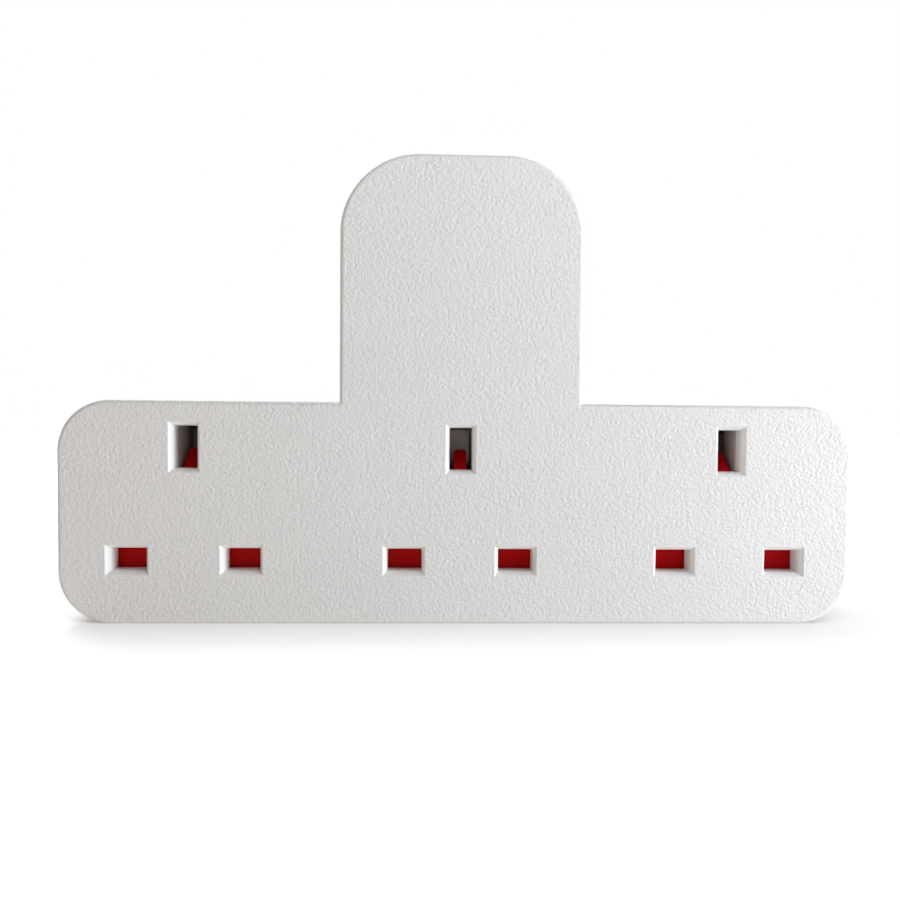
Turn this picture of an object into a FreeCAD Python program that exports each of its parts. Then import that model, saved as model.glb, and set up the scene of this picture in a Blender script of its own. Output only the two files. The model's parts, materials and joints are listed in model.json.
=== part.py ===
import FreeCAD, Part
import math
import os

# Three-way socket adaptor for flat rectangular pins.
# A wide bar holds three sockets in a row, and a stem rises from its middle.
# The plug pins stand out of the back of the stem.
#
# Frame, in millimetres: X runs to the right as the sockets are seen, Y runs into the wall and Z is up.
# The origin lies on the back face of the body, in the middle of the pattern of the three plug pins.

Vector = FreeCAD.Vector

# Pattern of the pins: live and neutral stand this far apart, and earth this far above their line
PIN_SPACING = 22.23

# Body: a tee of two moulded covers
BAR_WIDTH = 157.5
BAR_HEIGHT = 43.95
BAR_CORNER = 10.2
STEM_WIDTH = 48.0
STEM_HEIGHT = 48.6
STEM_CORNER = 15.5
BODY_DEPTH = 27.0
BACK_COVER_DEPTH = 6.0
FRONT_WALL = 2.4
SIDE_WALL = 2.0
BACK_WALL = 2.2
FACE_EDGE = 0.9
BACK_EDGE = 1.0

# Seam between the covers: a locating lip inside and a shadow groove outside
LIP_GAP = 0.15
LIP_THICKNESS = 1.2
LIP_HEIGHT = 1.5
GROOVE_WIDTH = 0.6
GROOVE_DEPTH = 0.4

# Sockets
SOCKET_FROM_END = 24.58
LIVE_ABOVE_BOTTOM = 12.54
LIVE_SLOT_WIDTH = 6.86
LIVE_SLOT_HEIGHT = 4.4
EARTH_SLOT_WIDTH = 4.5
EARTH_SLOT_HEIGHT = 8.4
LEAD_IN = 0.8
LEAD_IN_DEPTH = 1.5
LIVE_PAD_DEPTH = 4.9
EARTH_PAD_DEPTH = 3.9
PAD_MARGIN = 2.0

# Shutters, one behind each socket, pushed down by the earth pin and back up by a spring
SHUTTER_TRAVEL = 4.8
SHUTTER_THICKNESS = 1.6
SHUTTER_RUNNING_GAP = 0.4
WING_OVERLAP_SIDE = 0.7
WING_OVERLAP_TOP = 0.3
WING_OVERLAP_BOTTOM = 0.9
RISER_WIDTH = 4.0
NOSE_WIDTH = 2.6
NOSE_TOP_ABOVE_EARTH = 0.1
NOSE_CORNER = 0.7
NOSE_RAMP_RISE = 4.4
NOSE_RAMP_DEPTH = 4.5
NOSE_TOP_LENGTH = 0.9
NOSE_SKIRT = 2.4
NOSE_EDGE = 0.5
NOSE_GAP = 0.35
BOSS_WIDTH = 6.4
BOSS_DEPTH = 5.4
BOSS_TOP = 5.0
SPRING_POCKET_TOP = 1.5

# Return springs of the shutters
SPRING_RADIUS = 2.0
SPRING_WIRE = 0.5
SPRING_DEPTH = 8.0
SPRING_POCKET_GAP = 0.3
SPRING_END_GAP = 0.1
SPRING_PEG_GAP = 0.25
SPRING_PEG_HEIGHT = 2.0

# Guide plates that keep the shutters against the front cover
GUIDE_THICKNESS = 1.4
GUIDE_HALF_WIDTH = 20.0
GUIDE_TOP = 8.4
GUIDE_BOTTOM = 9.6
GUIDE_SLOT_TOP = 5.5
GUIDE_LOWER_CORNER = 5.0
GUIDE_WINDOW_MARGIN = 0.4
GUIDE_PEG_X = 17.9
GUIDE_PEG_SIZE = 2.0
GUIDE_PEG_GAP = 0.15
GUIDE_PEG_HEIGHT = 0.6
RAIL_THICKNESS = 1.0
RISER_RAIL_BOTTOM = 6.0
RISER_RAIL_TOP = 13.0
CHANNEL_END_GAP = 0.5

# Contacts: sprung strips folded into a U round each pin
CONTACT_THICKNESS = 0.6
CONTACT_GRIP_GAP = 0.15
CONTACT_BASE_SPREAD = 0.9
CONTACT_FLARE = 1.1
CONTACT_MOUTH_LENGTH = 2.2
LIVE_CONTACT_WIDTH = 6.0
EARTH_CONTACT_WIDTH = 7.2
LIVE_CONTACT_MOUTH_DEPTH = 9.8
EARTH_CONTACT_MOUTH_DEPTH = 12.0

# Bus bars: flat strips at three depths, so that their tongues pass behind one another
BUS_THICKNESS = 0.8
BUS_WIDTH = 4.6
BUS_GAP = 0.45
BUS_END = 2.2
LINE_BUS_DEPTH = 19.2
NEUTRAL_BUS_DEPTH = 21.4
EARTH_BUS_DEPTH = 24.0
LINE_TONGUE_LEFT = 6.4
LINE_TONGUE_WIDTH = 3.4
TONGUE_PAST_CLIP = 0.7
NEUTRAL_TONGUE_WIDTH = 4.0
EARTH_RUN_BOTTOM = 4.0
EARTH_RUN_HEIGHT = 3.0
EARTH_RUN_RIGHT = -7.0
EARTH_PLATE_LEFT = -8.0
EARTH_RISER_GAP = 0.5
ANVIL_SIZE = 3.6

# Plug pins
FLAT_PIN_WIDTH = 6.35
FLAT_PIN_HEIGHT = 3.97
FLAT_PIN_LENGTH = 17.7
EARTH_PIN_WIDTH = 3.97
EARTH_PIN_HEIGHT = 7.92
EARTH_PIN_LENGTH = 22.73
PIN_TIP_CHAMFER = 1.1
PIN_HOLE_GAP = 0.1
SLEEVE_LENGTH = 9.5
SLEEVE_THICKNESS = 0.5
PIN_HEAD = 8.0
EARTH_HEAD_DEPTH = 21.0
EARTH_HEAD_WIDTH = 9.0
EARTH_HEAD_HEIGHT = 10.6

# Fuse, its clips and the carrier that pulls it out of the back
FUSE_LENGTH = 25.4
FUSE_RADIUS = 3.175
FUSE_BODY_RADIUS = 2.9
FUSE_CAP_LENGTH = 5.6
FUSE_CAP_WALL = 0.25
FUSE_ABOVE_FLAT_PINS = 0.5
FUSE_AXIS_Y = -6.6
FUSE_CLIP_GAP = 0.15
FUSE_CLIP_WIDTH = 4.0
FUSE_CLIP_FROM_END = 1.0
FUSE_CLIP_FLARE = 0.7
FUSE_CLIP_MOUTH_Y = -3.5
FUSE_CLIP_GRIP_Y = -4.7
CARRIER_WIDTH = 11.0
CARRIER_PAST_FUSE = 2.3
CARRIER_CORNER = 2.0
CARRIER_FLANGE = 1.2
CARRIER_LEDGE = 0.8
CARRIER_GAP = 0.15
CARRIER_PLUG_DEPTH = 2.4
CRADLE_WIDTH = 8.8
CRADLE_CLIP_GAP = 1.2
CRADLE_MOUTH = 5.8
CRADLE_REACH = 1.6
CARRIER_STOP_GAP = 0.2
CARRIER_STOP_THICKNESS = 1.0
CARRIER_STOP_WIDTH = 6.0
PRY_SLOT_WIDTH = 4.5
PRY_SLOT_HEIGHT = 1.4
PRY_SLOT_DEPTH = 0.8
PRY_SLOT_FROM_TOP = 0.9
WELL_GAP = 0.15
WELL_WALL = 1.2

# Screws that hold the covers together, driven from the back
SCREW_CORE_RADIUS = 1.15
SCREW_HEAD_RADIUS = 2.4
SCREW_HEAD_HEIGHT = 1.7
SCREW_SINK = 1.0
SCREW_LENGTH = 14.0
SCREW_CROSS_WIDTH = 0.8
SCREW_CROSS_LENGTH = 2.8
SCREW_CROSS_DEPTH = 0.9
SCREW_PILOT_GAP = 0.05
SCREW_HOLE_GAP = 0.3
FRONT_BOSS_RADIUS = 3.2
BACK_BOSS_RADIUS = 3.9
STEM_SCREW_FROM_SIDE = 7.8
STEM_SCREW_ABOVE_STRIP = 0.5
BAR_SCREW_FROM_BOTTOM = 26.75
BAR_SCREW_FROM_END = 7.3

# How far a cutting tool runs past the face that it cuts
OVERRUN = 1.0

# Places that follow from the sizes above
FACE_Y = -BODY_DEPTH
SEAM_Y = -BACK_COVER_DEPTH
FLOOR_Y = -BACK_WALL
STEM_TOP = STEM_HEIGHT / 2
BAR_TOP = -STEM_HEIGHT / 2
BAR_BOTTOM = BAR_TOP - BAR_HEIGHT
LIVE_Z = BAR_BOTTOM + LIVE_ABOVE_BOTTOM
EARTH_Z = LIVE_Z + PIN_SPACING
PLUG_EARTH_Z = PIN_SPACING / 2
PLUG_LIVE_Z = -PIN_SPACING / 2
HALF_SPACING = PIN_SPACING / 2
SOCKET_PITCH = BAR_WIDTH / 2 - SOCKET_FROM_END
SOCKETS = {"left": -SOCKET_PITCH, "middle": 0.0, "right": SOCKET_PITCH}
SHUTTER_Y = FACE_Y + LIVE_PAD_DEPTH + SHUTTER_RUNNING_GAP
SHUTTER_BACK_Y = SHUTTER_Y + SHUTTER_THICKNESS
GUIDE_Y = SHUTTER_BACK_Y + SHUTTER_RUNNING_GAP
WING_HALF_WIDTH = HALF_SPACING + LIVE_SLOT_WIDTH / 2 + WING_OVERLAP_SIDE
WING_TOP = LIVE_SLOT_HEIGHT / 2 + WING_OVERLAP_TOP
WING_BOTTOM = LIVE_SLOT_HEIGHT / 2 + WING_OVERLAP_BOTTOM
LINE_BUS_Y = FACE_Y + LINE_BUS_DEPTH
NEUTRAL_BUS_Y = FACE_Y + NEUTRAL_BUS_DEPTH
EARTH_BUS_Y = FACE_Y + EARTH_BUS_DEPTH
FUSE_CENTRE_Z = PLUG_LIVE_Z + FUSE_ABOVE_FLAT_PINS
FUSE_TOP = FUSE_CENTRE_Z + FUSE_LENGTH / 2
FUSE_BOTTOM = FUSE_CENTRE_Z - FUSE_LENGTH / 2
FUSE_CLIP_BASE_Y = FUSE_AXIS_Y - FUSE_RADIUS - FUSE_CLIP_GAP
UPPER_CLIP_Z = FUSE_TOP - FUSE_CLIP_FROM_END - FUSE_CLIP_WIDTH
LOWER_CLIP_Z = FUSE_BOTTOM + FUSE_CLIP_FROM_END
LINE_TONGUE_TOP = LOWER_CLIP_Z + FUSE_CLIP_WIDTH + TONGUE_PAST_CLIP
CARRIER_HEIGHT = FUSE_LENGTH + 2 * CARRIER_PAST_FUSE
CRADLE_LENGTH = UPPER_CLIP_Z - LOWER_CLIP_Z - FUSE_CLIP_WIDTH - 2 * CRADLE_CLIP_GAP
CONTACT_HALF_HEIGHT = FLAT_PIN_HEIGHT / 2 + CONTACT_GRIP_GAP + CONTACT_BASE_SPREAD + CONTACT_THICKNESS
BUS_OFFSET = CONTACT_HALF_HEIGHT + BUS_GAP
BAR_SCREW_X = BAR_WIDTH / 2 - BAR_SCREW_FROM_END
BAR_SCREW_Z = BAR_BOTTOM + BAR_SCREW_FROM_BOTTOM
STEM_SCREW_X = STEM_WIDTH / 2 - STEM_SCREW_FROM_SIDE
STEM_SCREW_Z = EARTH_RUN_BOTTOM + EARTH_RUN_HEIGHT + STEM_SCREW_ABOVE_STRIP + BACK_BOSS_RADIUS
SCREWS = {
    "stem_left": (-STEM_SCREW_X, STEM_SCREW_Z),
    "stem_right": (STEM_SCREW_X, STEM_SCREW_Z),
    "bar_left": (-BAR_SCREW_X, BAR_SCREW_Z),
    "bar_right": (BAR_SCREW_X, BAR_SCREW_Z),
}


# Outlines and prisms

def rounded_wire(corners, place):
    """A closed wire through (u, v, radius) corners, each rounded. place makes a point of u and v."""
    ends = []
    for i, (u, v, radius) in enumerate(corners):
        before = corners[i - 1]
        after = corners[(i + 1) % len(corners)]
        towards = [(before[0] - u, before[1] - v), (after[0] - u, after[1] - v)]
        units = [(a / math.hypot(a, b), b / math.hypot(a, b)) for a, b in towards]
        cosine = units[0][0] * units[1][0] + units[0][1] * units[1][1]
        half = math.acos(max(-1.0, min(1.0, cosine))) / 2
        reach = radius / math.tan(half)
        start = place(u + units[0][0] * reach, v + units[0][1] * reach)
        stop = place(u + units[1][0] * reach, v + units[1][1] * reach)
        bisector = (units[0][0] + units[1][0], units[0][1] + units[1][1])
        length = math.hypot(*bisector)
        depth = radius / math.sin(half) - radius
        middle = place(u + bisector[0] / length * depth, v + bisector[1] / length * depth)
        ends.append((start, middle, stop, radius))
    edges = []
    for i, (start, middle, stop, radius) in enumerate(ends):
        if radius > 0:
            edges.append(Part.Arc(start, middle, stop).toShape())
        following = ends[(i + 1) % len(ends)][0]
        if stop.distanceToPoint(following) > 1e-6:
            edges.append(Part.LineSegment(stop, following).toShape())
    return Part.Wire(edges)


def prism_y(corners, y0, y1):
    """An outline of (x, z, radius) corners carried from y0 to y1."""
    wire = rounded_wire(corners, lambda x, z: Vector(x, y0, z))
    return Part.Face(wire).extrude(Vector(0, y1 - y0, 0))


def prism_x(corners, x0, x1):
    """An outline of (y, z, radius) corners carried from x0 to x1."""
    wire = rounded_wire(corners, lambda y, z: Vector(x0, y, z))
    return Part.Face(wire).extrude(Vector(x1 - x0, 0, 0))


def prism_z(corners, z0, z1):
    """An outline of (x, y, radius) corners carried from z0 to z1."""
    wire = rounded_wire(corners, lambda x, y: Vector(x, y, z0))
    return Part.Face(wire).extrude(Vector(0, 0, z1 - z0))


def rectangle(u, v, width, height, radius=0.0):
    """Corners of a rectangle about its centre."""
    return [(u - width / 2, v - height / 2, radius), (u + width / 2, v - height / 2, radius),
            (u + width / 2, v + height / 2, radius), (u - width / 2, v + height / 2, radius)]


def rod_y(x, z, radius, y0, y1):
    """A round rod along Y."""
    return Part.makeCylinder(radius, y1 - y0, Vector(x, y0, z), Vector(0, 1, 0))


def rod_z(x, y, radius, z0, z1):
    """A round rod along Z."""
    return Part.makeCylinder(radius, z1 - z0, Vector(x, y, z0), Vector(0, 0, 1))


def strip_corners(path, thickness):
    """Corners of a folded strip: the path is its inner side, and the thickness goes to the left of it."""
    left = []
    for i, (u, v) in enumerate(path):
        normals = []
        for a, b in ((i - 1, i), (i, i + 1)):
            if a >= 0 and b < len(path):
                du, dv = path[b][0] - path[a][0], path[b][1] - path[a][1]
                normals.append((-dv / math.hypot(du, dv), du / math.hypot(du, dv)))
        total = (sum(n[0] for n in normals), sum(n[1] for n in normals))
        size = math.hypot(*total)
        unit = (total[0] / size, total[1] / size)
        mitre = thickness / (unit[0] * normals[0][0] + unit[1] * normals[0][1])
        left.append((u + unit[0] * mitre, v + unit[1] * mitre))
    return [(u, v, 0.0) for u, v in path + left[::-1]]


def edges_at_y(shape, y):
    """The edges that lie wholly at this y."""
    return [e for e in shape.Edges if abs(e.BoundBox.YMin - y) < 1e-4 and abs(e.BoundBox.YMax - y) < 1e-4]


def tee(inset):
    """The body's outline, moved inwards by the inset."""
    bar = BAR_WIDTH / 2 - inset
    stem = STEM_WIDTH / 2 - inset
    bar_corner = BAR_CORNER - inset
    stem_corner = STEM_CORNER - inset
    return [(-bar, BAR_BOTTOM + inset, bar_corner), (bar, BAR_BOTTOM + inset, bar_corner),
            (bar, BAR_TOP - inset, bar_corner), (stem, BAR_TOP - inset, 0.0),
            (stem, STEM_TOP - inset, stem_corner), (-stem, STEM_TOP - inset, stem_corner),
            (-stem, BAR_TOP - inset, 0.0), (-bar, BAR_TOP - inset, bar_corner)]


# Front cover

def flared_wire(half, depth, place):
    """Half a slot's section: straight walls that curve outwards to a wider mouth at the face."""
    radius = (LEAD_IN ** 2 + LEAD_IN_DEPTH ** 2) / (2 * LEAD_IN)
    turn = math.atan2(LEAD_IN_DEPTH, radius - LEAD_IN) / 2
    lead_y = FACE_Y + LEAD_IN_DEPTH
    mid_u = half + radius - radius * math.cos(turn)
    mid_y = lead_y - radius * math.sin(turn)
    mouth = half + LEAD_IN
    top = FACE_Y - OVERRUN
    end = FACE_Y + depth + OVERRUN
    edges = [
        Part.LineSegment(place(-mouth, top), place(mouth, top)),
        Part.LineSegment(place(mouth, top), place(mouth, FACE_Y)),
        Part.Arc(place(mouth, FACE_Y), place(mid_u, mid_y), place(half, lead_y)),
        Part.LineSegment(place(half, lead_y), place(half, end)),
        Part.LineSegment(place(half, end), place(-half, end)),
        Part.LineSegment(place(-half, end), place(-half, lead_y)),
        Part.Arc(place(-half, lead_y), place(-mid_u, mid_y), place(-mouth, FACE_Y)),
        Part.LineSegment(place(-mouth, FACE_Y), place(-mouth, top)),
    ]
    return Part.Wire([e.toShape() for e in edges])


def slot_cutter(x, z, width, height, depth):
    """The space of one slot. Two flared prisms meet in it, which gives the mouth its mitred corners."""
    across = height / 2 + LEAD_IN + OVERRUN
    along = width / 2 + LEAD_IN + OVERRUN
    wide = flared_wire(width / 2, depth, lambda u, y: Vector(x + u, y, z - across))
    tall = flared_wire(height / 2, depth, lambda u, y: Vector(x - along, y, z + u))
    first = Part.Face(wide).extrude(Vector(0, 0, 2 * across))
    second = Part.Face(tall).extrude(Vector(2 * along, 0, 0))
    return first.common(second)


def slot_pad(x, z, width, height, depth):
    """The thicker wall round a slot, so that its sides guide the pin."""
    outline = rectangle(x, z, width + 2 * PAD_MARGIN, height + 2 * PAD_MARGIN)
    return prism_y(outline, FACE_Y + FRONT_WALL / 2, FACE_Y + depth)


def earth_channel(x):
    """Walls on both sides and above, from the earth slot to its contact. The nose slides between them."""
    inside = EARTH_SLOT_WIDTH / 2
    outside = inside + RAIL_THICKNESS
    bottom = EARTH_Z - EARTH_SLOT_HEIGHT / 2
    top = EARTH_Z + EARTH_SLOT_HEIGHT / 2
    corners = [(x - outside, bottom, 0.0), (x - inside, bottom, 0.0), (x - inside, top, 0.0),
               (x + inside, top, 0.0), (x + inside, bottom, 0.0), (x + outside, bottom, 0.0),
               (x + outside, top + RAIL_THICKNESS, 0.0), (x - outside, top + RAIL_THICKNESS, 0.0)]
    end = FACE_Y + EARTH_CONTACT_MOUTH_DEPTH - CHANNEL_END_GAP
    return prism_y(corners, FACE_Y + FRONT_WALL / 2, end)


def socket_features(x):
    """What the front cover carries behind one socket: pads, a channel, rails, and pegs for two parts."""
    inner = FACE_Y + FRONT_WALL / 2
    rail = WING_HALF_WIDTH + SHUTTER_RUNNING_GAP
    rail_bottom = LIVE_Z - WING_BOTTOM - SHUTTER_TRAVEL
    rail_top = LIVE_Z + WING_TOP
    riser_rail = RISER_WIDTH / 2 + SHUTTER_RUNNING_GAP
    peg_side = math.sqrt(2) * (SPRING_RADIUS - SPRING_WIRE - SPRING_PEG_GAP)
    cover_floor = BAR_BOTTOM + SIDE_WALL
    parts = [slot_pad(x, EARTH_Z, EARTH_SLOT_WIDTH, EARTH_SLOT_HEIGHT, EARTH_PAD_DEPTH), earth_channel(x)]
    for side in (-1, 1):
        parts.append(slot_pad(x + side * HALF_SPACING, LIVE_Z,
                              LIVE_SLOT_WIDTH, LIVE_SLOT_HEIGHT, LIVE_PAD_DEPTH))
        wing_rail = rectangle(x + side * (rail + RAIL_THICKNESS / 2), (rail_bottom + rail_top) / 2,
                              RAIL_THICKNESS, rail_top - rail_bottom)
        parts.append(prism_y(wing_rail, inner, GUIDE_Y))
        nose_rail = rectangle(x + side * (riser_rail + RAIL_THICKNESS / 2),
                              LIVE_Z + (RISER_RAIL_BOTTOM + RISER_RAIL_TOP) / 2,
                              RAIL_THICKNESS, RISER_RAIL_TOP - RISER_RAIL_BOTTOM)
        parts.append(prism_y(nose_rail, inner, SHUTTER_BACK_Y))
        peg = rectangle(x + side * GUIDE_PEG_X, LIVE_Z, GUIDE_PEG_SIZE, GUIDE_PEG_SIZE)
        parts.append(prism_y(peg, inner, GUIDE_Y + GUIDE_THICKNESS + GUIDE_PEG_HEIGHT))
    spring_peg = rectangle(x, FACE_Y + SPRING_DEPTH, peg_side, peg_side)
    parts.append(prism_z(spring_peg, cover_floor - SIDE_WALL / 2, cover_floor + SPRING_PEG_HEIGHT))
    return parts


def make_front_cover():
    """The deep front shell with its nine bell-mouthed slots."""
    outer = prism_y(tee(0), FACE_Y, SEAM_Y)
    outer = outer.makeFillet(FACE_EDGE, edges_at_y(outer, FACE_Y))
    cavity = prism_y(tee(SIDE_WALL), FACE_Y + FRONT_WALL, SEAM_Y + OVERRUN)
    additions = []
    cutters = []
    for x in SOCKETS.values():
        additions += socket_features(x)
        cutters.append(slot_cutter(x, EARTH_Z, EARTH_SLOT_WIDTH, EARTH_SLOT_HEIGHT, EARTH_PAD_DEPTH))
        for side in (-1, 1):
            cutters.append(slot_cutter(x + side * HALF_SPACING, LIVE_Z,
                                       LIVE_SLOT_WIDTH, LIVE_SLOT_HEIGHT, LIVE_PAD_DEPTH))
    pilot = SCREW_CORE_RADIUS + SCREW_PILOT_GAP
    for x, z in SCREWS.values():
        additions.append(rod_y(x, z, FRONT_BOSS_RADIUS, FACE_Y + FRONT_WALL / 2, SEAM_Y))
        cutters.append(rod_y(x, z, pilot, FACE_Y + 2 * FRONT_WALL, SEAM_Y + OVERRUN))
    return outer.cut(cavity).fuse(additions).cut(cutters).removeSplitter()


# Back cover

def carrier_outline(shrink):
    """The outline of the fuse carrier's lid, made smaller all round."""
    return rectangle(0, FUSE_CENTRE_Z, CARRIER_WIDTH - 2 * shrink, CARRIER_HEIGHT - 2 * shrink,
                     CARRIER_CORNER - shrink)


def back_openings():
    """What is cut through the back wall: the pins' holes, the fuse's opening and the screws' holes."""
    flat_width = FLAT_PIN_WIDTH + 2 * PIN_HOLE_GAP
    flat_height = FLAT_PIN_HEIGHT + 2 * PIN_HOLE_GAP
    earth_width = EARTH_PIN_WIDTH + 2 * PIN_HOLE_GAP
    earth_height = EARTH_PIN_HEIGHT + 2 * PIN_HOLE_GAP
    cutters = [prism_y(rectangle(0, PLUG_EARTH_Z, earth_width, earth_height), -BODY_DEPTH, OVERRUN)]
    for side in (-1, 1):
        hole = rectangle(side * HALF_SPACING, PLUG_LIVE_Z, flat_width, flat_height)
        cutters.append(prism_y(hole, -BODY_DEPTH, OVERRUN))
    cutters.append(prism_y(carrier_outline(0), -CARRIER_FLANGE - CARRIER_GAP, OVERRUN))
    cutters.append(prism_y(carrier_outline(CARRIER_LEDGE), -BODY_DEPTH, OVERRUN))
    for x, z in SCREWS.values():
        cutters.append(rod_y(x, z, SCREW_CORE_RADIUS + SCREW_HOLE_GAP, -BODY_DEPTH, OVERRUN))
        cutters.append(rod_y(x, z, SCREW_HEAD_RADIUS + SCREW_HOLE_GAP,
                             -SCREW_SINK - SCREW_HEAD_HEIGHT, OVERRUN))
    return cutters


def back_supports():
    """What stands inside the back wall: screw bosses, the fuse well and anvils behind the contacts."""
    inner = FLOOR_Y + BACK_WALL / 2
    parts = [rod_y(x, z, BACK_BOSS_RADIUS, SEAM_Y, inner) for x, z in SCREWS.values()]
    well = CARRIER_WIDTH / 2 - CARRIER_LEDGE + WELL_GAP
    for side in (-1, 1):
        wall = rectangle(side * (well + WELL_WALL / 2), FUSE_CENTRE_Z,
                         WELL_WALL, CARRIER_HEIGHT - 2 * CARRIER_LEDGE)
        parts.append(prism_y(wall, SEAM_Y, inner))
    for x in SOCKETS.values():
        line = rectangle(x + HALF_SPACING, LIVE_Z, ANVIL_SIZE, ANVIL_SIZE)
        neutral = rectangle(x - HALF_SPACING, LIVE_Z, ANVIL_SIZE, ANVIL_SIZE)
        parts.append(prism_y(line, LINE_BUS_Y + BUS_THICKNESS, inner))
        parts.append(prism_y(neutral, NEUTRAL_BUS_Y + BUS_THICKNESS, inner))
    tongue = rectangle(LINE_TONGUE_LEFT + LINE_TONGUE_WIDTH / 2, LINE_TONGUE_TOP - ANVIL_SIZE / 2,
                       LINE_TONGUE_WIDTH - 2 * WELL_GAP, ANVIL_SIZE)
    parts.append(prism_y(tongue, LINE_BUS_Y + BUS_THICKNESS, inner))
    return parts


def make_back_cover():
    """The shallow back tray. Its lip seats inside the front cover."""
    outer = prism_y(tee(0), SEAM_Y, 0)
    outer = outer.makeChamfer(BACK_EDGE, edges_at_y(outer, 0))
    around = rectangle(0, (STEM_TOP + BAR_BOTTOM) / 2, BAR_WIDTH + 2 * OVERRUN,
                       STEM_TOP - BAR_BOTTOM + 2 * OVERRUN)
    groove = prism_y(around, SEAM_Y - OVERRUN, SEAM_Y + GROOVE_WIDTH)
    groove = groove.cut(prism_y(tee(GROOVE_DEPTH), SEAM_Y - 2 * OVERRUN, SEAM_Y + 2 * OVERRUN))
    lip = prism_y(tee(SIDE_WALL + LIP_GAP), SEAM_Y - LIP_HEIGHT, SEAM_Y + OVERRUN)
    inside = SIDE_WALL + LIP_GAP + LIP_THICKNESS
    cavity = prism_y(tee(inside), SEAM_Y - 2 * LIP_HEIGHT, FLOOR_Y)
    shell = outer.cut(groove).fuse(lip).cut(cavity)
    return shell.fuse(back_supports()).cut(back_openings()).removeSplitter()


# Shutters, springs and guides

def make_shutter(x):
    """One tee-shaped shutter: wings over the live and neutral slots, and a ramped nose in the earth slot."""
    wing_bottom = LIVE_Z - WING_BOTTOM
    wing_top = LIVE_Z + WING_TOP
    nose_top = EARTH_Z + NOSE_TOP_ABOVE_EARTH
    ramp_bottom = nose_top - NOSE_RAMP_RISE
    nose_bottom = ramp_bottom - NOSE_SKIRT
    nose_y = FACE_Y + EARTH_PAD_DEPTH + NOSE_GAP
    riser_top = ramp_bottom - NOSE_EDGE
    half = RISER_WIDTH / 2
    plate = [(x - WING_HALF_WIDTH, wing_bottom), (x + WING_HALF_WIDTH, wing_bottom),
             (x + WING_HALF_WIDTH, wing_top), (x + half, wing_top), (x + half, riser_top),
             (x - half, riser_top), (x - half, wing_top), (x - WING_HALF_WIDTH, wing_top)]
    body = prism_y([(u, v, 0.0) for u, v in plate], SHUTTER_Y, SHUTTER_BACK_Y)
    nose = [(nose_y, nose_bottom, 0.0), (nose_y, ramp_bottom, NOSE_EDGE),
            (nose_y + NOSE_RAMP_DEPTH, nose_top, NOSE_EDGE),
            (nose_y + NOSE_RAMP_DEPTH + NOSE_TOP_LENGTH, nose_top, 0.0),
            (nose_y + NOSE_RAMP_DEPTH + NOSE_TOP_LENGTH, nose_bottom, NOSE_EDGE)]
    wedge = prism_x(nose, x - NOSE_WIDTH / 2, x + NOSE_WIDTH / 2)
    around = rectangle(x, (nose_top + nose_bottom - NOSE_SKIRT) / 2, NOSE_WIDTH,
                       nose_top - nose_bottom + NOSE_SKIRT, NOSE_CORNER)
    wedge = wedge.common(prism_y(around, nose_y - OVERRUN, nose_y + NOSE_RAMP_DEPTH + 2 * OVERRUN))
    boss = prism_y(rectangle(x, (wing_bottom + LIVE_Z + BOSS_TOP) / 2, BOSS_WIDTH,
                             LIVE_Z + BOSS_TOP - wing_bottom), SHUTTER_Y, SHUTTER_Y + BOSS_DEPTH)
    pocket = rod_z(x, FACE_Y + SPRING_DEPTH, SPRING_RADIUS + SPRING_POCKET_GAP,
                   wing_bottom - OVERRUN, LIVE_Z + SPRING_POCKET_TOP)
    return body.fuse([wedge, boss]).cut(pocket).removeSplitter()


def make_spring(x):
    """The spring's outer form: a sleeve as thick as its wire."""
    bottom = BAR_BOTTOM + SIDE_WALL + SPRING_END_GAP
    top = LIVE_Z + SPRING_POCKET_TOP - SPRING_END_GAP
    sleeve = rod_z(x, FACE_Y + SPRING_DEPTH, SPRING_RADIUS, bottom, top)
    bore = rod_z(x, FACE_Y + SPRING_DEPTH, SPRING_RADIUS - SPRING_WIRE, bottom - OVERRUN, top + OVERRUN)
    return sleeve.cut(bore)


def make_guide(x):
    """The plate behind one shutter. It is open for the spring and has a window for each flat pin."""
    slot = BOSS_WIDTH / 2 + SHUTTER_RUNNING_GAP
    bottom = LIVE_Z - GUIDE_BOTTOM
    plate = [(x - GUIDE_HALF_WIDTH, bottom, GUIDE_LOWER_CORNER), (x - slot, bottom, 0.0),
             (x - slot, LIVE_Z + GUIDE_SLOT_TOP, 0.0), (x + slot, LIVE_Z + GUIDE_SLOT_TOP, 0.0),
             (x + slot, bottom, 0.0), (x + GUIDE_HALF_WIDTH, bottom, GUIDE_LOWER_CORNER),
             (x + GUIDE_HALF_WIDTH, LIVE_Z + GUIDE_TOP, 0.0),
             (x - GUIDE_HALF_WIDTH, LIVE_Z + GUIDE_TOP, 0.0)]
    body = prism_y(plate, GUIDE_Y, GUIDE_Y + GUIDE_THICKNESS)
    cutters = []
    for side in (-1, 1):
        window = rectangle(x + side * HALF_SPACING, LIVE_Z, LIVE_SLOT_WIDTH + 2 * GUIDE_WINDOW_MARGIN,
                           LIVE_SLOT_HEIGHT + 2 * GUIDE_WINDOW_MARGIN)
        peg_hole = rectangle(x + side * GUIDE_PEG_X, LIVE_Z, GUIDE_PEG_SIZE + 2 * GUIDE_PEG_GAP,
                             GUIDE_PEG_SIZE + 2 * GUIDE_PEG_GAP)
        for hole in (window, peg_hole):
            cutters.append(prism_y(hole, GUIDE_Y - OVERRUN, GUIDE_Y + GUIDE_THICKNESS + OVERRUN))
    return body.cut(cutters).removeSplitter()


# Contacts and bus bars

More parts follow.
